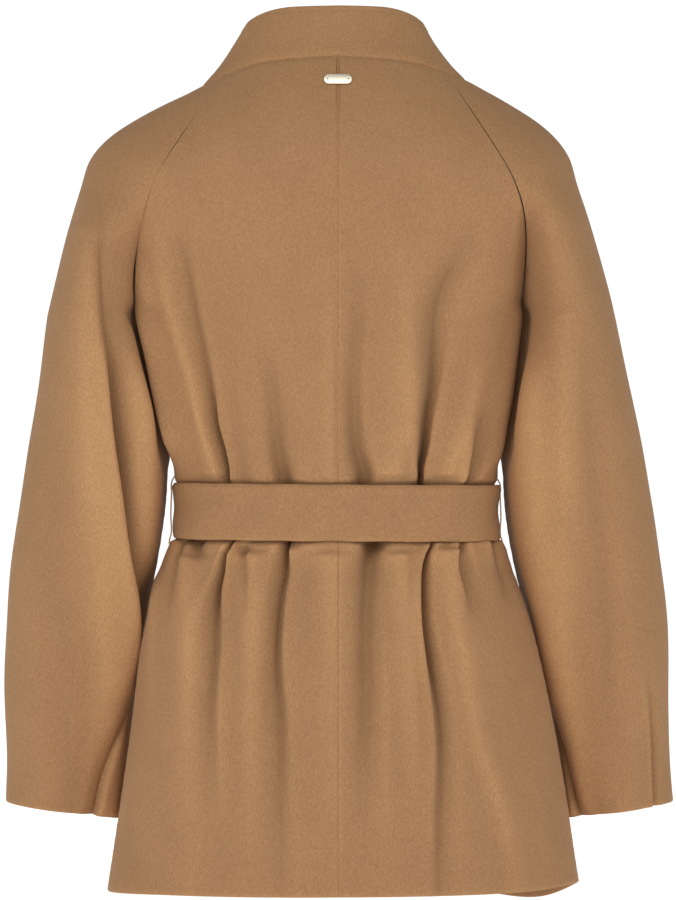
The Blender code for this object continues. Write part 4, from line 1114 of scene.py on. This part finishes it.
@dataclass
class Sleeve(ClothPiece):
    """A raglan sleeve with its cuff tucks."""

    CENTRE_Z: ClassVar[tuple[float, ...]] = (-698, -584, -472, -398, -324, -235, -110)
    CENTRE_Y: ClassVar[tuple[float, ...]] = (-65, -56, -35, -20, -9, 0, 0)
    CUFF_Z: ClassVar[float] = -684.0
    CORNER: ClassVar[float] = 10.0
    CORNER_INWARD: ClassVar[tuple[float, float]] = (0.74, 0.30)
    CORNER_BACK: ClassVar[tuple[float, float]] = (0.70, 0.34)
    CORNER_ENDS: ClassVar[tuple[float, float]] = (-330.0, -240.0)
    SLICE: ClassVar[float] = 12.0
    TURN: ClassVar[float] = 26.0

    def relief(self, place: np.ndarray, rim: np.ndarray, distance: np.ndarray) -> np.ndarray:
        """Folds behind and before the arm, under the ripple."""
        lift = super().relief(place, rim, distance)
        x, _, z = place.T
        behind, before = self.side_of_arm(place)
        lift += self.corner_lift(place)
        for crease in SLEEVE_BACK_CREASES:
            lift -= crease.depth_at(x, z) * behind
        for crease in SLEEVE_FRONT_CREASES:
            lift -= crease.depth_at(x, z) * before
        return lift

    def sharp_folds(self) -> tuple[Crease, ...]:
        """The sharp folds behind the arm."""
        return tuple(crease for crease in SLEEVE_BACK_CREASES if crease.kind is Fold.SHARP)

    def back_share(self, place: np.ndarray) -> np.ndarray:
        """Only the half behind the arm has the back's folds."""
        return self.side_of_arm(place)[0]

    def side_of_arm(self, place: np.ndarray) -> tuple[np.ndarray, np.ndarray]:
        """Share, 0 to 1, to which each place is behind the arm, and before it."""
        fore = place[:, 1] - curve_through(self.CENTRE_Z, self.CENTRE_Y, place[:, 2])
        return smooth_step(0.0, self.TURN, fore), smooth_step(0.0, self.TURN, -fore)

    def corner_lift(self, place: np.ndarray) -> np.ndarray:
        """Fill out the sleeve's corner behind and next to the body, where cloth gathers."""
        x, y, z = np.abs(place[:, 0]), place[:, 1], place[:, 2]
        levels = np.arange(z.min(), z.max(), self.SLICE)
        rings = [np.abs(z - level) < 0.75 * self.SLICE for level in levels]
        rows = [(x[ring].min(), x[ring].max(), y[ring].min(), y[ring].max()) for ring in rings]
        low_x, high_x, low_y, high_y = (np.interp(z, levels, column) for column in np.array(rows).T)
        inward = (0.5 * (low_x + high_x) - x) / (0.5 * (high_x - low_x))
        back = (y - 0.5 * (low_y + high_y)) / (0.5 * (high_y - low_y))
        near = (bell(inward - self.CORNER_INWARD[0], self.CORNER_INWARD[1])
                * bell(back - self.CORNER_BACK[0], self.CORNER_BACK[1]))
        return self.CORNER * near * (1.0 - smooth_step(*self.CORNER_ENDS, z))

    def drift(self, place: np.ndarray) -> np.ndarray:
        """The armhole's valleys, the rest of the underarm, and the folds' leaning sides."""
        move = shared_drift(place)
        behind = self.side_of_arm(place)[0]
        for crease in SLEEVE_BACK_CREASES:
            move[:, 0] += crease.lean_at(place[:, 0], place[:, 2]) * behind
        return move

    def is_seam(self, rim: np.ndarray) -> np.ndarray:
        """Every edge is sewn but the cuff."""
        return np.where(rim[:, 2] < self.CUFF_Z, 0.0, 1.0)


@dataclass
class Collar(ClothPiece):
    """The funnel collar, of doubled cloth."""

    MIDDLE_Y: ClassVar[float] = -14.0
    SEAM_TURN: ClassVar[tuple[float, ...]] = (0, 30, 54, 92, 145, 180)
    SEAM_Z: ClassVar[tuple[float, ...]] = (1.5, -3, -13, -27, -56, -62)
    SEAM_BAND: ClassVar[float] = 9.0

    def is_seam(self, rim: np.ndarray) -> np.ndarray:
        """Only the lower edge is sewn."""
        x, y, z = rim.T
        turn = np.degrees(np.arctan2(np.abs(x), y - self.MIDDLE_Y))
        seam = curve_through(self.SEAM_TURN, self.SEAM_Z, turn)
        return np.where(z < seam + self.SEAM_BAND, 1.0, 0.0)


@dataclass
class BeltEnd(ClothPiece):
    """A hanging end of the belt."""

    # height, waves a millimetre, and the reach or the start of the fan and of the wave
    FAN: ClassVar[tuple[float, float, float]] = (0.9, 0.62, 26.0)
    WAVE: ClassVar[tuple[float, float, tuple[float, float]]] = (0.7, 0.043, (10.0, 60.0))

    def is_seam(self, rim: np.ndarray) -> np.ndarray:
        """Its edges are turned, and none is sewn to a neighbour."""
        return np.zeros(len(rim))

    def relief(self, place: np.ndarray, rim: np.ndarray, distance: np.ndarray) -> np.ndarray:
        """Creases that fan out from the knot, and a slow wave down the length."""
        down = place[:, 2].max() - place[:, 2]
        (depth, pitch, reach), (height, turn, start) = self.FAN, self.WAVE
        fan = np.sin(place[:, 0] * pitch + 0.8) * np.exp(-down / reach)
        return depth * fan + height * np.sin(down * turn + 1.0) * smooth_step(*start, down)


@dataclass
class Belt(ClothPiece):
    """The belt: doubled cloth turned at both edges, drawn tight round the waist."""

    MIDDLE_Z: ClassVar[float] = -418.0
    SLOPE: ClassVar[float] = 0.007
    TIE_X: ClassVar[float] = 8.0
    PULL_REACH: ClassVar[float] = 60.0
    SIDES: ClassVar[tuple[float, float]] = (118.0, 156.0)
    HOLLOW: ClassVar[tuple[float, float, float]] = (2.6, 3.0, 13.0)
    FOLD_LINE: ClassVar[tuple[float, float, float]] = (0.9, 21.5, 2.2)

    def mark_layers(self, mesh: bpy.types.Mesh) -> None:
        """The belt has no rim; its faces away from the waist are its outer sheet."""
        for face in mesh.polygons:
            centre, normal = face.center, face.normal
            outward = centre.x * normal.x + centre.y * normal.y
            side_on = abs(outward) > 0.3 * math.hypot(centre.x, centre.y)
            layer = Layer.RIM if not side_on else Layer.OUTER if outward > 0 else Layer.INNER
            face.material_index = layer.value

    def relief(self, place: np.ndarray, rim: np.ndarray, distance: np.ndarray) -> np.ndarray:
        """Slow waves, a hollow where it turns round the sides, and pulls towards the tie."""
        x, y, z = place.T
        up = z - self.MIDDLE_Z - self.SLOPE * x
        (depth, height, width), (ridge, line, band) = self.HOLLOW, self.FOLD_LINE
        hollow = -depth * bell(up - height, width) * smooth_step(*self.SIDES, np.abs(x))
        wave = (0.5 * np.sin(x * 0.055 + 0.6) * np.cos(up * 0.05)
                + 0.35 * np.sin(x * 0.13 + up * 0.09))
        front = smooth_step(0.0, 60.0, -y)
        away = np.abs(x - self.TIE_X)
        pull = 0.8 * np.sin(up * 0.42 + away * 0.03) * np.exp(-away / self.PULL_REACH)
        fold_line = ridge * bell(up - line, band)
        return hollow + fold_line + wave * (1.0 - front) + (0.6 * wave + pull) * front

    def is_seam(self, rim: np.ndarray) -> np.ndarray:
        """No edge is sewn to a neighbour."""
        return np.zeros(len(rim))

    def turn_edges(self, mesh: bpy.types.Mesh) -> None:
        """Its edges are round already."""


@dataclass
class Knot(Belt):
    """The belt's tie: the band drawn over itself, with folds that fan from where it is pinched."""

    centre: tuple[float, float, float] = (8.0, -119.0, -421.0)

    FANNED: ClassVar[tuple[tuple[float, float, float, float], ...]] = (
        (-6.5, 0.24, 2.6, 2.6), (1.0, 0.02, 1.8, 2.0), (8.0, -0.20, 2.8, 2.6))
    BAND: ClassVar[tuple[float, float]] = (-15.0, 17.0)
    BAND_SLOPE: ClassVar[float] = 0.34
    BAND_EDGE: ClassVar[float] = 1.8
    BAND_LIFT: ClassVar[float] = 2.6
    TUCK: ClassVar[tuple[float, float, float]] = (1.4, 4.0, 3.0)
    SUNK: ClassVar[float] = 1.4

    def relief(self, place: np.ndarray, rim: np.ndarray, distance: np.ndarray) -> np.ndarray:
        """The upper wrap's raised band and the folds drawn into its sides."""
        x, z = place[:, 0] - self.centre[0], place[:, 2] - self.centre[2]
        front = smooth_step(-4.0, 4.0, self.centre[1] - place[:, 1])
        across = z - self.BAND_SLOPE * x
        spread = 1.0 + 0.012 * x
        low, high = self.BAND
        band = 0.5 * (np.tanh((across - low) / self.BAND_EDGE)
                      - np.tanh((across - high) / self.BAND_EDGE))
        folds = np.zeros_like(x)
        for offset, lean, depth, width in self.FANNED:
            off = (across - offset * spread - lean * x) / width
            folds += depth * np.exp(-np.abs(off) ** 1.3)
        folds *= smooth_step(5.0, 21.0, np.abs(x + 3.0))
        depth, middle, width = self.TUCK
        tuck = depth * bell(x + 0.55 * z - middle, width)
        return front * (band * (self.BAND_LIFT - folds) - (1.0 - band) * tuck) - self.SUNK

    def declare(self, piece: bpy.types.Object) -> None:
        """A tie of rolled cloth is not a flat sheet, so it only rides and replaces."""
        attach(piece, BODY)
        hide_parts(self.node)


# ------------------------------------------------------------------ trim

def add_tube(shape: bmesh.types.BMesh, rings: Sequence[Sequence[np.ndarray]]) -> None:
    """Join rings of points, in millimetres, to a tube with a face at each end."""
    verts = [[shape.verts.new(point * MM) for point in ring] for ring in rings]
    for low, high in zip(verts, verts[1:]):
        for k, corner in enumerate(low):
            after = (k + 1) % len(low)
            shape.faces.new((corner, high[k], high[after], low[after]))
    shape.faces.new(verts[0])
    shape.faces.new(verts[-1][::-1])


@dataclass
class ThreadLoop:
    """A belt loop of two threads twisted together, at a side seam."""

    side: Side
    path: tuple[tuple[float, float], ...]
    y: float = 13.0
    radius: float = 0.8
    lay: float = 3.4
    steps: int = 150
    corners: int = 14

    WAIST: ClassVar[float] = 0.62

    def build(self) -> bpy.types.Object:
        """Sweep the twisted section along the loop's path."""
        points = np.array([(x, self.y, z) for x, z in self.path])
        length = np.concatenate(([0.0], np.cumsum(np.linalg.norm(np.diff(points, axis=0), axis=1))))
        at = np.linspace(0.0, length[-1], self.steps)
        line = np.stack([curve_through(length, points[:, axis], at) for axis in range(3)], axis=1)
        along = np.gradient(line, axis=0)
        along /= np.linalg.norm(along, axis=1, keepdims=True)
        first = np.cross(along, (0.0, 1.0, 0.0))
        first /= np.linalg.norm(first, axis=1, keepdims=True)
        second = np.cross(along, first)
        turn = np.linspace(0.0, 2 * math.pi, self.corners, endpoint=False)
        twist = 2 * math.pi * at[:, None] / self.lay
        reach = self.radius * (self.WAIST + (1.0 - self.WAIST) * np.abs(np.cos(turn - twist)))
        rings = (line[:, None] + first[:, None] * (reach * np.cos(turn))[..., None]
                 + second[:, None] * (reach * np.sin(turn))[..., None])
        shape = bmesh.new()
        add_tube(shape, rings)
        bmesh.ops.recalc_face_normals(shape, faces=shape.faces)
        loop = add_object(shape, "thread_loop_" + self.side.word, THREAD.material())
        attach(loop, BODY)
        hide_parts("belt_loop_" + self.side.word)
        LOG.info("%s: %d faces", loop.name, len(loop.data.polygons))
        return loop


# Sideways place and height along each loop, from above the belt to below it.
LOOP_PATHS = {
    Side.LEFT: ((146.9, -384.0), (150.4, -384.5), (153.8, -389.5), (154.3, -401.0),
                (155.0, -421.0), (154.8, -439.0), (156.4, -446.0), (155.4, -452.0)),
    Side.RIGHT: ((-142.4, -386.0), (-145.9, -386.5), (-149.8, -391.5), (-150.3, -403.0),
                 (-151.0, -423.0), (-150.8, -441.0), (-152.8, -448.0), (-151.8, -454.0)),
}


@dataclass
class NeckPlate:
    """Small bare metal plate with round ends, sewn under the collar through two eyelets."""

    width: float = 26.0
    height: float = 10.5
    thickness: float = 1.0
    rounding: float = 0.28
    eyelet: float = 0.75
    eyelet_x: float = 9.6
    corner_angle: float = 1.0

    def build(self) -> bpy.types.Object:
        """Model the plate flat, then lay it on the back where its solid is."""
        deselect()
        bpy.ops.mesh.primitive_cylinder_add(vertices=48, radius=0.5 * self.height * MM,
                                            depth=self.thickness * MM)
        plate = bpy.context.active_object
        plate.name = plate.data.name = "neck_plate_dressed"
        bpy.ops.object.mode_set(mode="EDIT")
        shape = bmesh.from_edit_mesh(plate.data)
        half = 0.5 * (self.width - self.height) * MM
        for side in Side:
            bpy.ops.mesh.select_all(action="DESELECT")
            for vert in shape.verts:
                vert.select = vert.co.x * side.value > 1e-6
            shape.select_flush_mode()
            bpy.ops.transform.translate(value=(side.value * half, 0.0, 0.0))
        bpy.ops.mesh.select_all(action="DESELECT")
        for edge in shape.edges:
            edge.select = edge.calc_face_angle(0.0) > self.corner_angle
        shape.select_flush_mode()
        bpy.ops.mesh.bevel(offset=self.rounding * MM, segments=4)
        bpy.ops.object.mode_set(mode="OBJECT")
        for side in Side:
            self.drill(plate, side.value * self.eyelet_x * MM)
        self.lay(plate)
        plate.data.materials.clear()
        plate.data.materials.append(PALE_GOLD.material())
        activate(plate)
        bpy.ops.object.shade_smooth_by_angle(angle=math.radians(40.0))
        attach(plate, BODY)
        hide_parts("neck_plate")
        LOG.info("%s: %d faces", plate.name, len(plate.data.polygons))
        return plate

    def drill(self, plate: bpy.types.Object, x: float) -> None:
        """Cut one eyelet through the plate.

        Args:
            plate: The flat plate.
            x: Sideways place of the eyelet, in metres.
        """
        deselect()
        bpy.ops.mesh.primitive_cylinder_add(vertices=24, radius=self.eyelet * MM,
                                            depth=4 * self.thickness * MM, location=(x, 0.0, 0.0))
        drill = bpy.context.active_object
        apply_modifier(plate, "BOOLEAN", object=drill, operation="DIFFERENCE", solver="EXACT")
        bpy.data.objects.remove(drill, do_unlink=True)

    def lay(self, plate: bpy.types.Object) -> None:
        """Turn the plate flat against the back and put it in its place, in its mesh."""
        solid = frame["nodes"]["neck_plate"].data
        face = max(solid.polygons, key=lambda polygon: polygon.area * (polygon.normal.y > 0))
        out = face.normal.normalized()
        across = Vector((-1.0, 0.0, 0.0))
        up = out.cross(across).normalized()
        low, high = (Vector(corner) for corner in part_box("neck_plate"))
        place = Matrix((across, up, out)).transposed().to_4x4()
        place.translation = (low + high) / 2
        plate.data.transform(place)


@dataclass
class CollarStitching:
    """One row of machine stitches, each its own short bar of thread, near the collar's top."""

    collar: bpy.types.Object
    inset: float = 5.5
    pitch: float = 3.3
    length: float = 2.5
    radius: float = 0.28

    AXIS: ClassVar[tuple[float, float]] = (0.0, -12.0)
    FROM: ClassVar[float] = 160.0
    LAST_TURN: ClassVar[float] = 158.0
    RAYS: ClassVar[int] = 420
    EDGE_BETWEEN: ClassVar[tuple[float, float]] = (-30.0, 60.0)
    HALVINGS: ClassVar[int] = 12
    CORNERS: ClassVar[int] = 6
    # share of a stitch's length, share of its radius, and height over the cloth in millimetres
    RINGS: ClassVar[tuple[tuple[float, float, float], ...]] = (
        (0.0, 0.45, -0.25), (0.14, 0.9, 0.05), (0.5, 1.0, 0.16), (0.86, 0.9, 0.05),
        (1.0, 0.45, -0.25))

    def build(self) -> bpy.types.Object:
        """Lay a stitch at every pitch along the outer face, following the top edge."""
        mesh = self.collar.data
        tree = BVHTree.FromPolygons([vert.co.copy() for vert in mesh.vertices],
                                    [tuple(face.vertices) for face in mesh.polygons])
        line = self.line(tree)
        shape = bmesh.new()
        steps = np.linalg.norm(np.diff(line[:, :3], axis=0), axis=1)
        span = np.concatenate(([0.0], np.cumsum(steps)))
        count = int(span[-1] / self.pitch)
        for number in range(count):
            middle = (number + 0.5) * self.pitch
            ends = [np.array([np.interp(middle + reach, span, line[:, k]) for k in range(6)])
                    for reach in (-0.5 * self.length, 0.5 * self.length)]
            self.stitch(shape, *ends)
        row = add_object(shape, "collar_stitching", STITCH.material())
        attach(row, BODY)
        LOG.info("%s: %d stitches", row.name, count)
        return row

    def line(self, tree: BVHTree) -> np.ndarray:
        """Points and normals along the outer face, one inset below the top edge."""
        rows = []
        for turn in np.linspace(-self.LAST_TURN, self.LAST_TURN, self.RAYS):
            outward = np.array((math.sin(math.radians(turn)), math.cos(math.radians(turn))))
            start = np.array(self.AXIS) + self.FROM * outward
            top = self.top_edge(tree, start, outward)
            hit = self.shoot(tree, start, outward, top - self.inset)
            if hit is not None:
                rows.append(hit)
        return np.array(rows)

    def shoot(self, tree: BVHTree, start: np.ndarray, outward: np.ndarray, z: float
              ) -> np.ndarray | None:
        """Where a level ray towards the neck meets the collar, with the normal there."""
        place, normal, _, _ = tree.ray_cast(Vector((*start, z)) * MM, Vector((*-outward, 0.0)))
        if place is None:
            return None
        return np.array((*(place / MM), *normal))

    def top_edge(self, tree: BVHTree, start: np.ndarray, outward: np.ndarray) -> float:
        """Height of the collar's top edge on one side, found by halving."""
        low, high = self.EDGE_BETWEEN
        for _ in range(self.HALVINGS):
            middle = 0.5 * (low + high)
            if self.shoot(tree, start, outward, middle) is None:
                high = middle
            else:
                low = middle
        return low

    def stitch(self, shape: bmesh.types.BMesh, first: np.ndarray, last: np.ndarray) -> None:
        """Add one stitch: a rounded bar that dips into the cloth at both ends."""
        along = last[:3] - first[:3]
        along /= np.linalg.norm(along)
        out = first[3:] + last[3:]
        out /= np.linalg.norm(out)
        side = np.cross(along, out)
        rings = []
        for share, size, lift in self.RINGS:
            centre = first[:3] + (last[:3] - first[:3]) * share + out * lift
            reach = self.radius * size
            rings.append([centre + reach * (side * math.cos(turn) + out * math.sin(turn))
                          for turn in np.linspace(0.0, 2 * math.pi, self.CORNERS, endpoint=False)])
        add_tube(shape, rings)


# ------------------------------------------------------------------ studio and main

@dataclass(frozen=True)
class Lamp:
    """A soft square lamp aimed at the coat's middle; metres and watts."""

    name: str
    place: tuple[float, float, float]
    size: float
    power: float

    AIM: ClassVar[tuple[float, float, float]] = (0.0, 0.0, -0.38)

    def build(self) -> None:
        """Add the lamp."""
        data = bpy.data.lights.new(self.name, "AREA")
        data.size = self.size
        data.energy = self.power
        lamp = bpy.data.objects.new(self.name, data)
        bpy.context.scene.collection.objects.link(lamp)
        lamp.location = self.place
        aim = Vector(self.AIM) - Vector(self.place)
        lamp.rotation_euler = aim.to_track_quat("-Z", "Y").to_euler()


@dataclass
class Studio:
    """White floor, white surroundings and soft light, most of it from the camera's side."""

    floor_z: float = -0.806
    floor_radius: float = 9.0
    floor_white: float = 0.9
    floor_glow: float = 0.72
    dome: float = 0.36
    dome_seen_more: float = 0.7

    LAMPS: ClassVar[tuple[Lamp, ...]] = (
        Lamp("key", (2.2, 3.9, 1.1), 1.4, 34.0),
        Lamp("fill", (-2.4, 3.7, 0.3), 1.6, 19.5),
        Lamp("overhead", (0.2, 2.4, 2.6), 1.8, 21.0),
        Lamp("front", (0.8, -4.0, 0.9), 1.8, 16.0))

    def build(self) -> None:
        """Lay the floor, paint the surroundings and light the coat."""
        deselect()
        bpy.ops.mesh.primitive_circle_add(vertices=96, radius=self.floor_radius, fill_type="NGON",
                                          location=(0.0, 0.0, self.floor_z))
        floor = bpy.context.active_object
        floor.name = "studio_floor"
        bpy.ops.object.transform_apply(location=True, rotation=True, scale=True)
        material = bpy.data.materials.new("studio_white")
        material.use_nodes = True
        shader = material.node_tree.nodes["Principled BSDF"]
        shader.inputs["Base Color"].default_value = (*[self.floor_white] * 3, 1.0)
        shader.inputs["Roughness"].default_value = 0.9
        shader.inputs["Emission Color"].default_value = (1.0, 1.0, 1.0, 1.0)
        shader.inputs["Emission Strength"].default_value = self.floor_glow
        floor.data.materials.append(material)
        self.surroundings()
        for lamp in self.LAMPS:
            lamp.build()
        LOG.info("studio: floor at %.3f m", self.floor_z)

    def surroundings(self) -> None:
        """Pure white to the eye, and a softer white as light."""
        world = bpy.data.worlds.new("white_studio")
        bpy.context.scene.world = world
        world.use_nodes = True
        tree = NodeTree(world.node_tree)
        shader = world.node_tree.nodes["Background"]
        seen = tree.add("LightPath").outputs["Is Camera Ray"]
        strength = tree.math("ADD", tree.math("MULTIPLY", seen, self.dome_seen_more), self.dome)
        shader.inputs["Color"].default_value = (1.0, 1.0, 1.0, 1.0)
        world.node_tree.links.new(strength, shader.inputs["Strength"])


@dataclass
class PortraitCamera:
    """A long lens, level with the coat's middle, straight behind it."""

    distance: float = 4.5
    height: float = -0.3608
    focal: float = 193.6

    def build(self) -> None:
        """Set the camera and make it the scene's own."""
        data = bpy.data.cameras.new("portrait")
        data.lens = self.focal
        data.sensor_width = 36.0
        data.sensor_fit = "AUTO"
        data.clip_end = 60.0
        camera = bpy.data.objects.new("portrait", data)
        bpy.context.scene.collection.objects.link(camera)
        camera.location = (0.0, self.distance, self.height)
        camera.rotation_euler = (math.pi / 2, 0.0, math.pi)
        bpy.context.scene.camera = camera
        bpy.context.scene.view_settings.view_transform = "Standard"
        bpy.context.scene.view_settings.look = "None"


def cloth_pieces() -> list[ClothPiece]:
    """Every cloth piece of the coat, with the flat size it was cut to."""
    back = Cut(0.26, 0.80, 0.18, rests_on=("collar",))
    front = {Side.LEFT: Cut(0.33, 0.78, 0.208, rests_on=("collar",)),
             Side.RIGHT: Cut(0.33, 0.78, 0.211, rests_on=("collar",))}
    sleeve = Cut(0.46, 0.74, 0.26, rests_on=("collar",))
    pieces: list[ClothPiece] = []
    for side in Side:
        lap_x = LAP_X if side is Side.RIGHT else None
        pieces += [BodyPanel("back_" + side.word, back),
                   BodyPanel("front_" + side.word, front[side], creases=FRONT_CREASES, lap_x=lap_x),
                   Sleeve("sleeve_" + side.word, sleeve, axis=(side.value * 215.0, -20.0))]
    belt = Cut(0.83, 0.052, 0.042, rests_on=("back_left", "back_right"))
    return pieces + [
        Collar("collar", Cut(0.66, 0.075, 0.04), axis=(0.0, Collar.MIDDLE_Y), levels=2),
        BeltEnd("belt_end_left", Cut(0.05, 0.285), finish=BELT_WOOL),
        BeltEnd("belt_end_right", Cut(0.05, 0.25), finish=BELT_WOOL),
        Belt("belt", belt, finish=BELT_WOOL, levels=2),
        Knot("belt_knot", Cut(0.06, 0.06), finish=BELT_WOOL, axis=Knot.centre[:2])]


def main() -> None:
    """Build the camera, the studio and every piece of the coat, in order."""
    logging.basicConfig(level=logging.INFO, format="%(name)s %(message)s")
    deselect()
    PortraitCamera().build()
    Studio().build()
    pieces = cloth_pieces()
    for piece in pieces:
        piece.cut_out()
    sew(pieces)
    built = {piece.node: piece.dress() for piece in pieces}
    for side in Side:
        ThreadLoop(side, LOOP_PATHS[side]).build()
    NeckPlate().build()
    CollarStitching(built["collar"]).build()


if __name__ == "__main__":
    main()
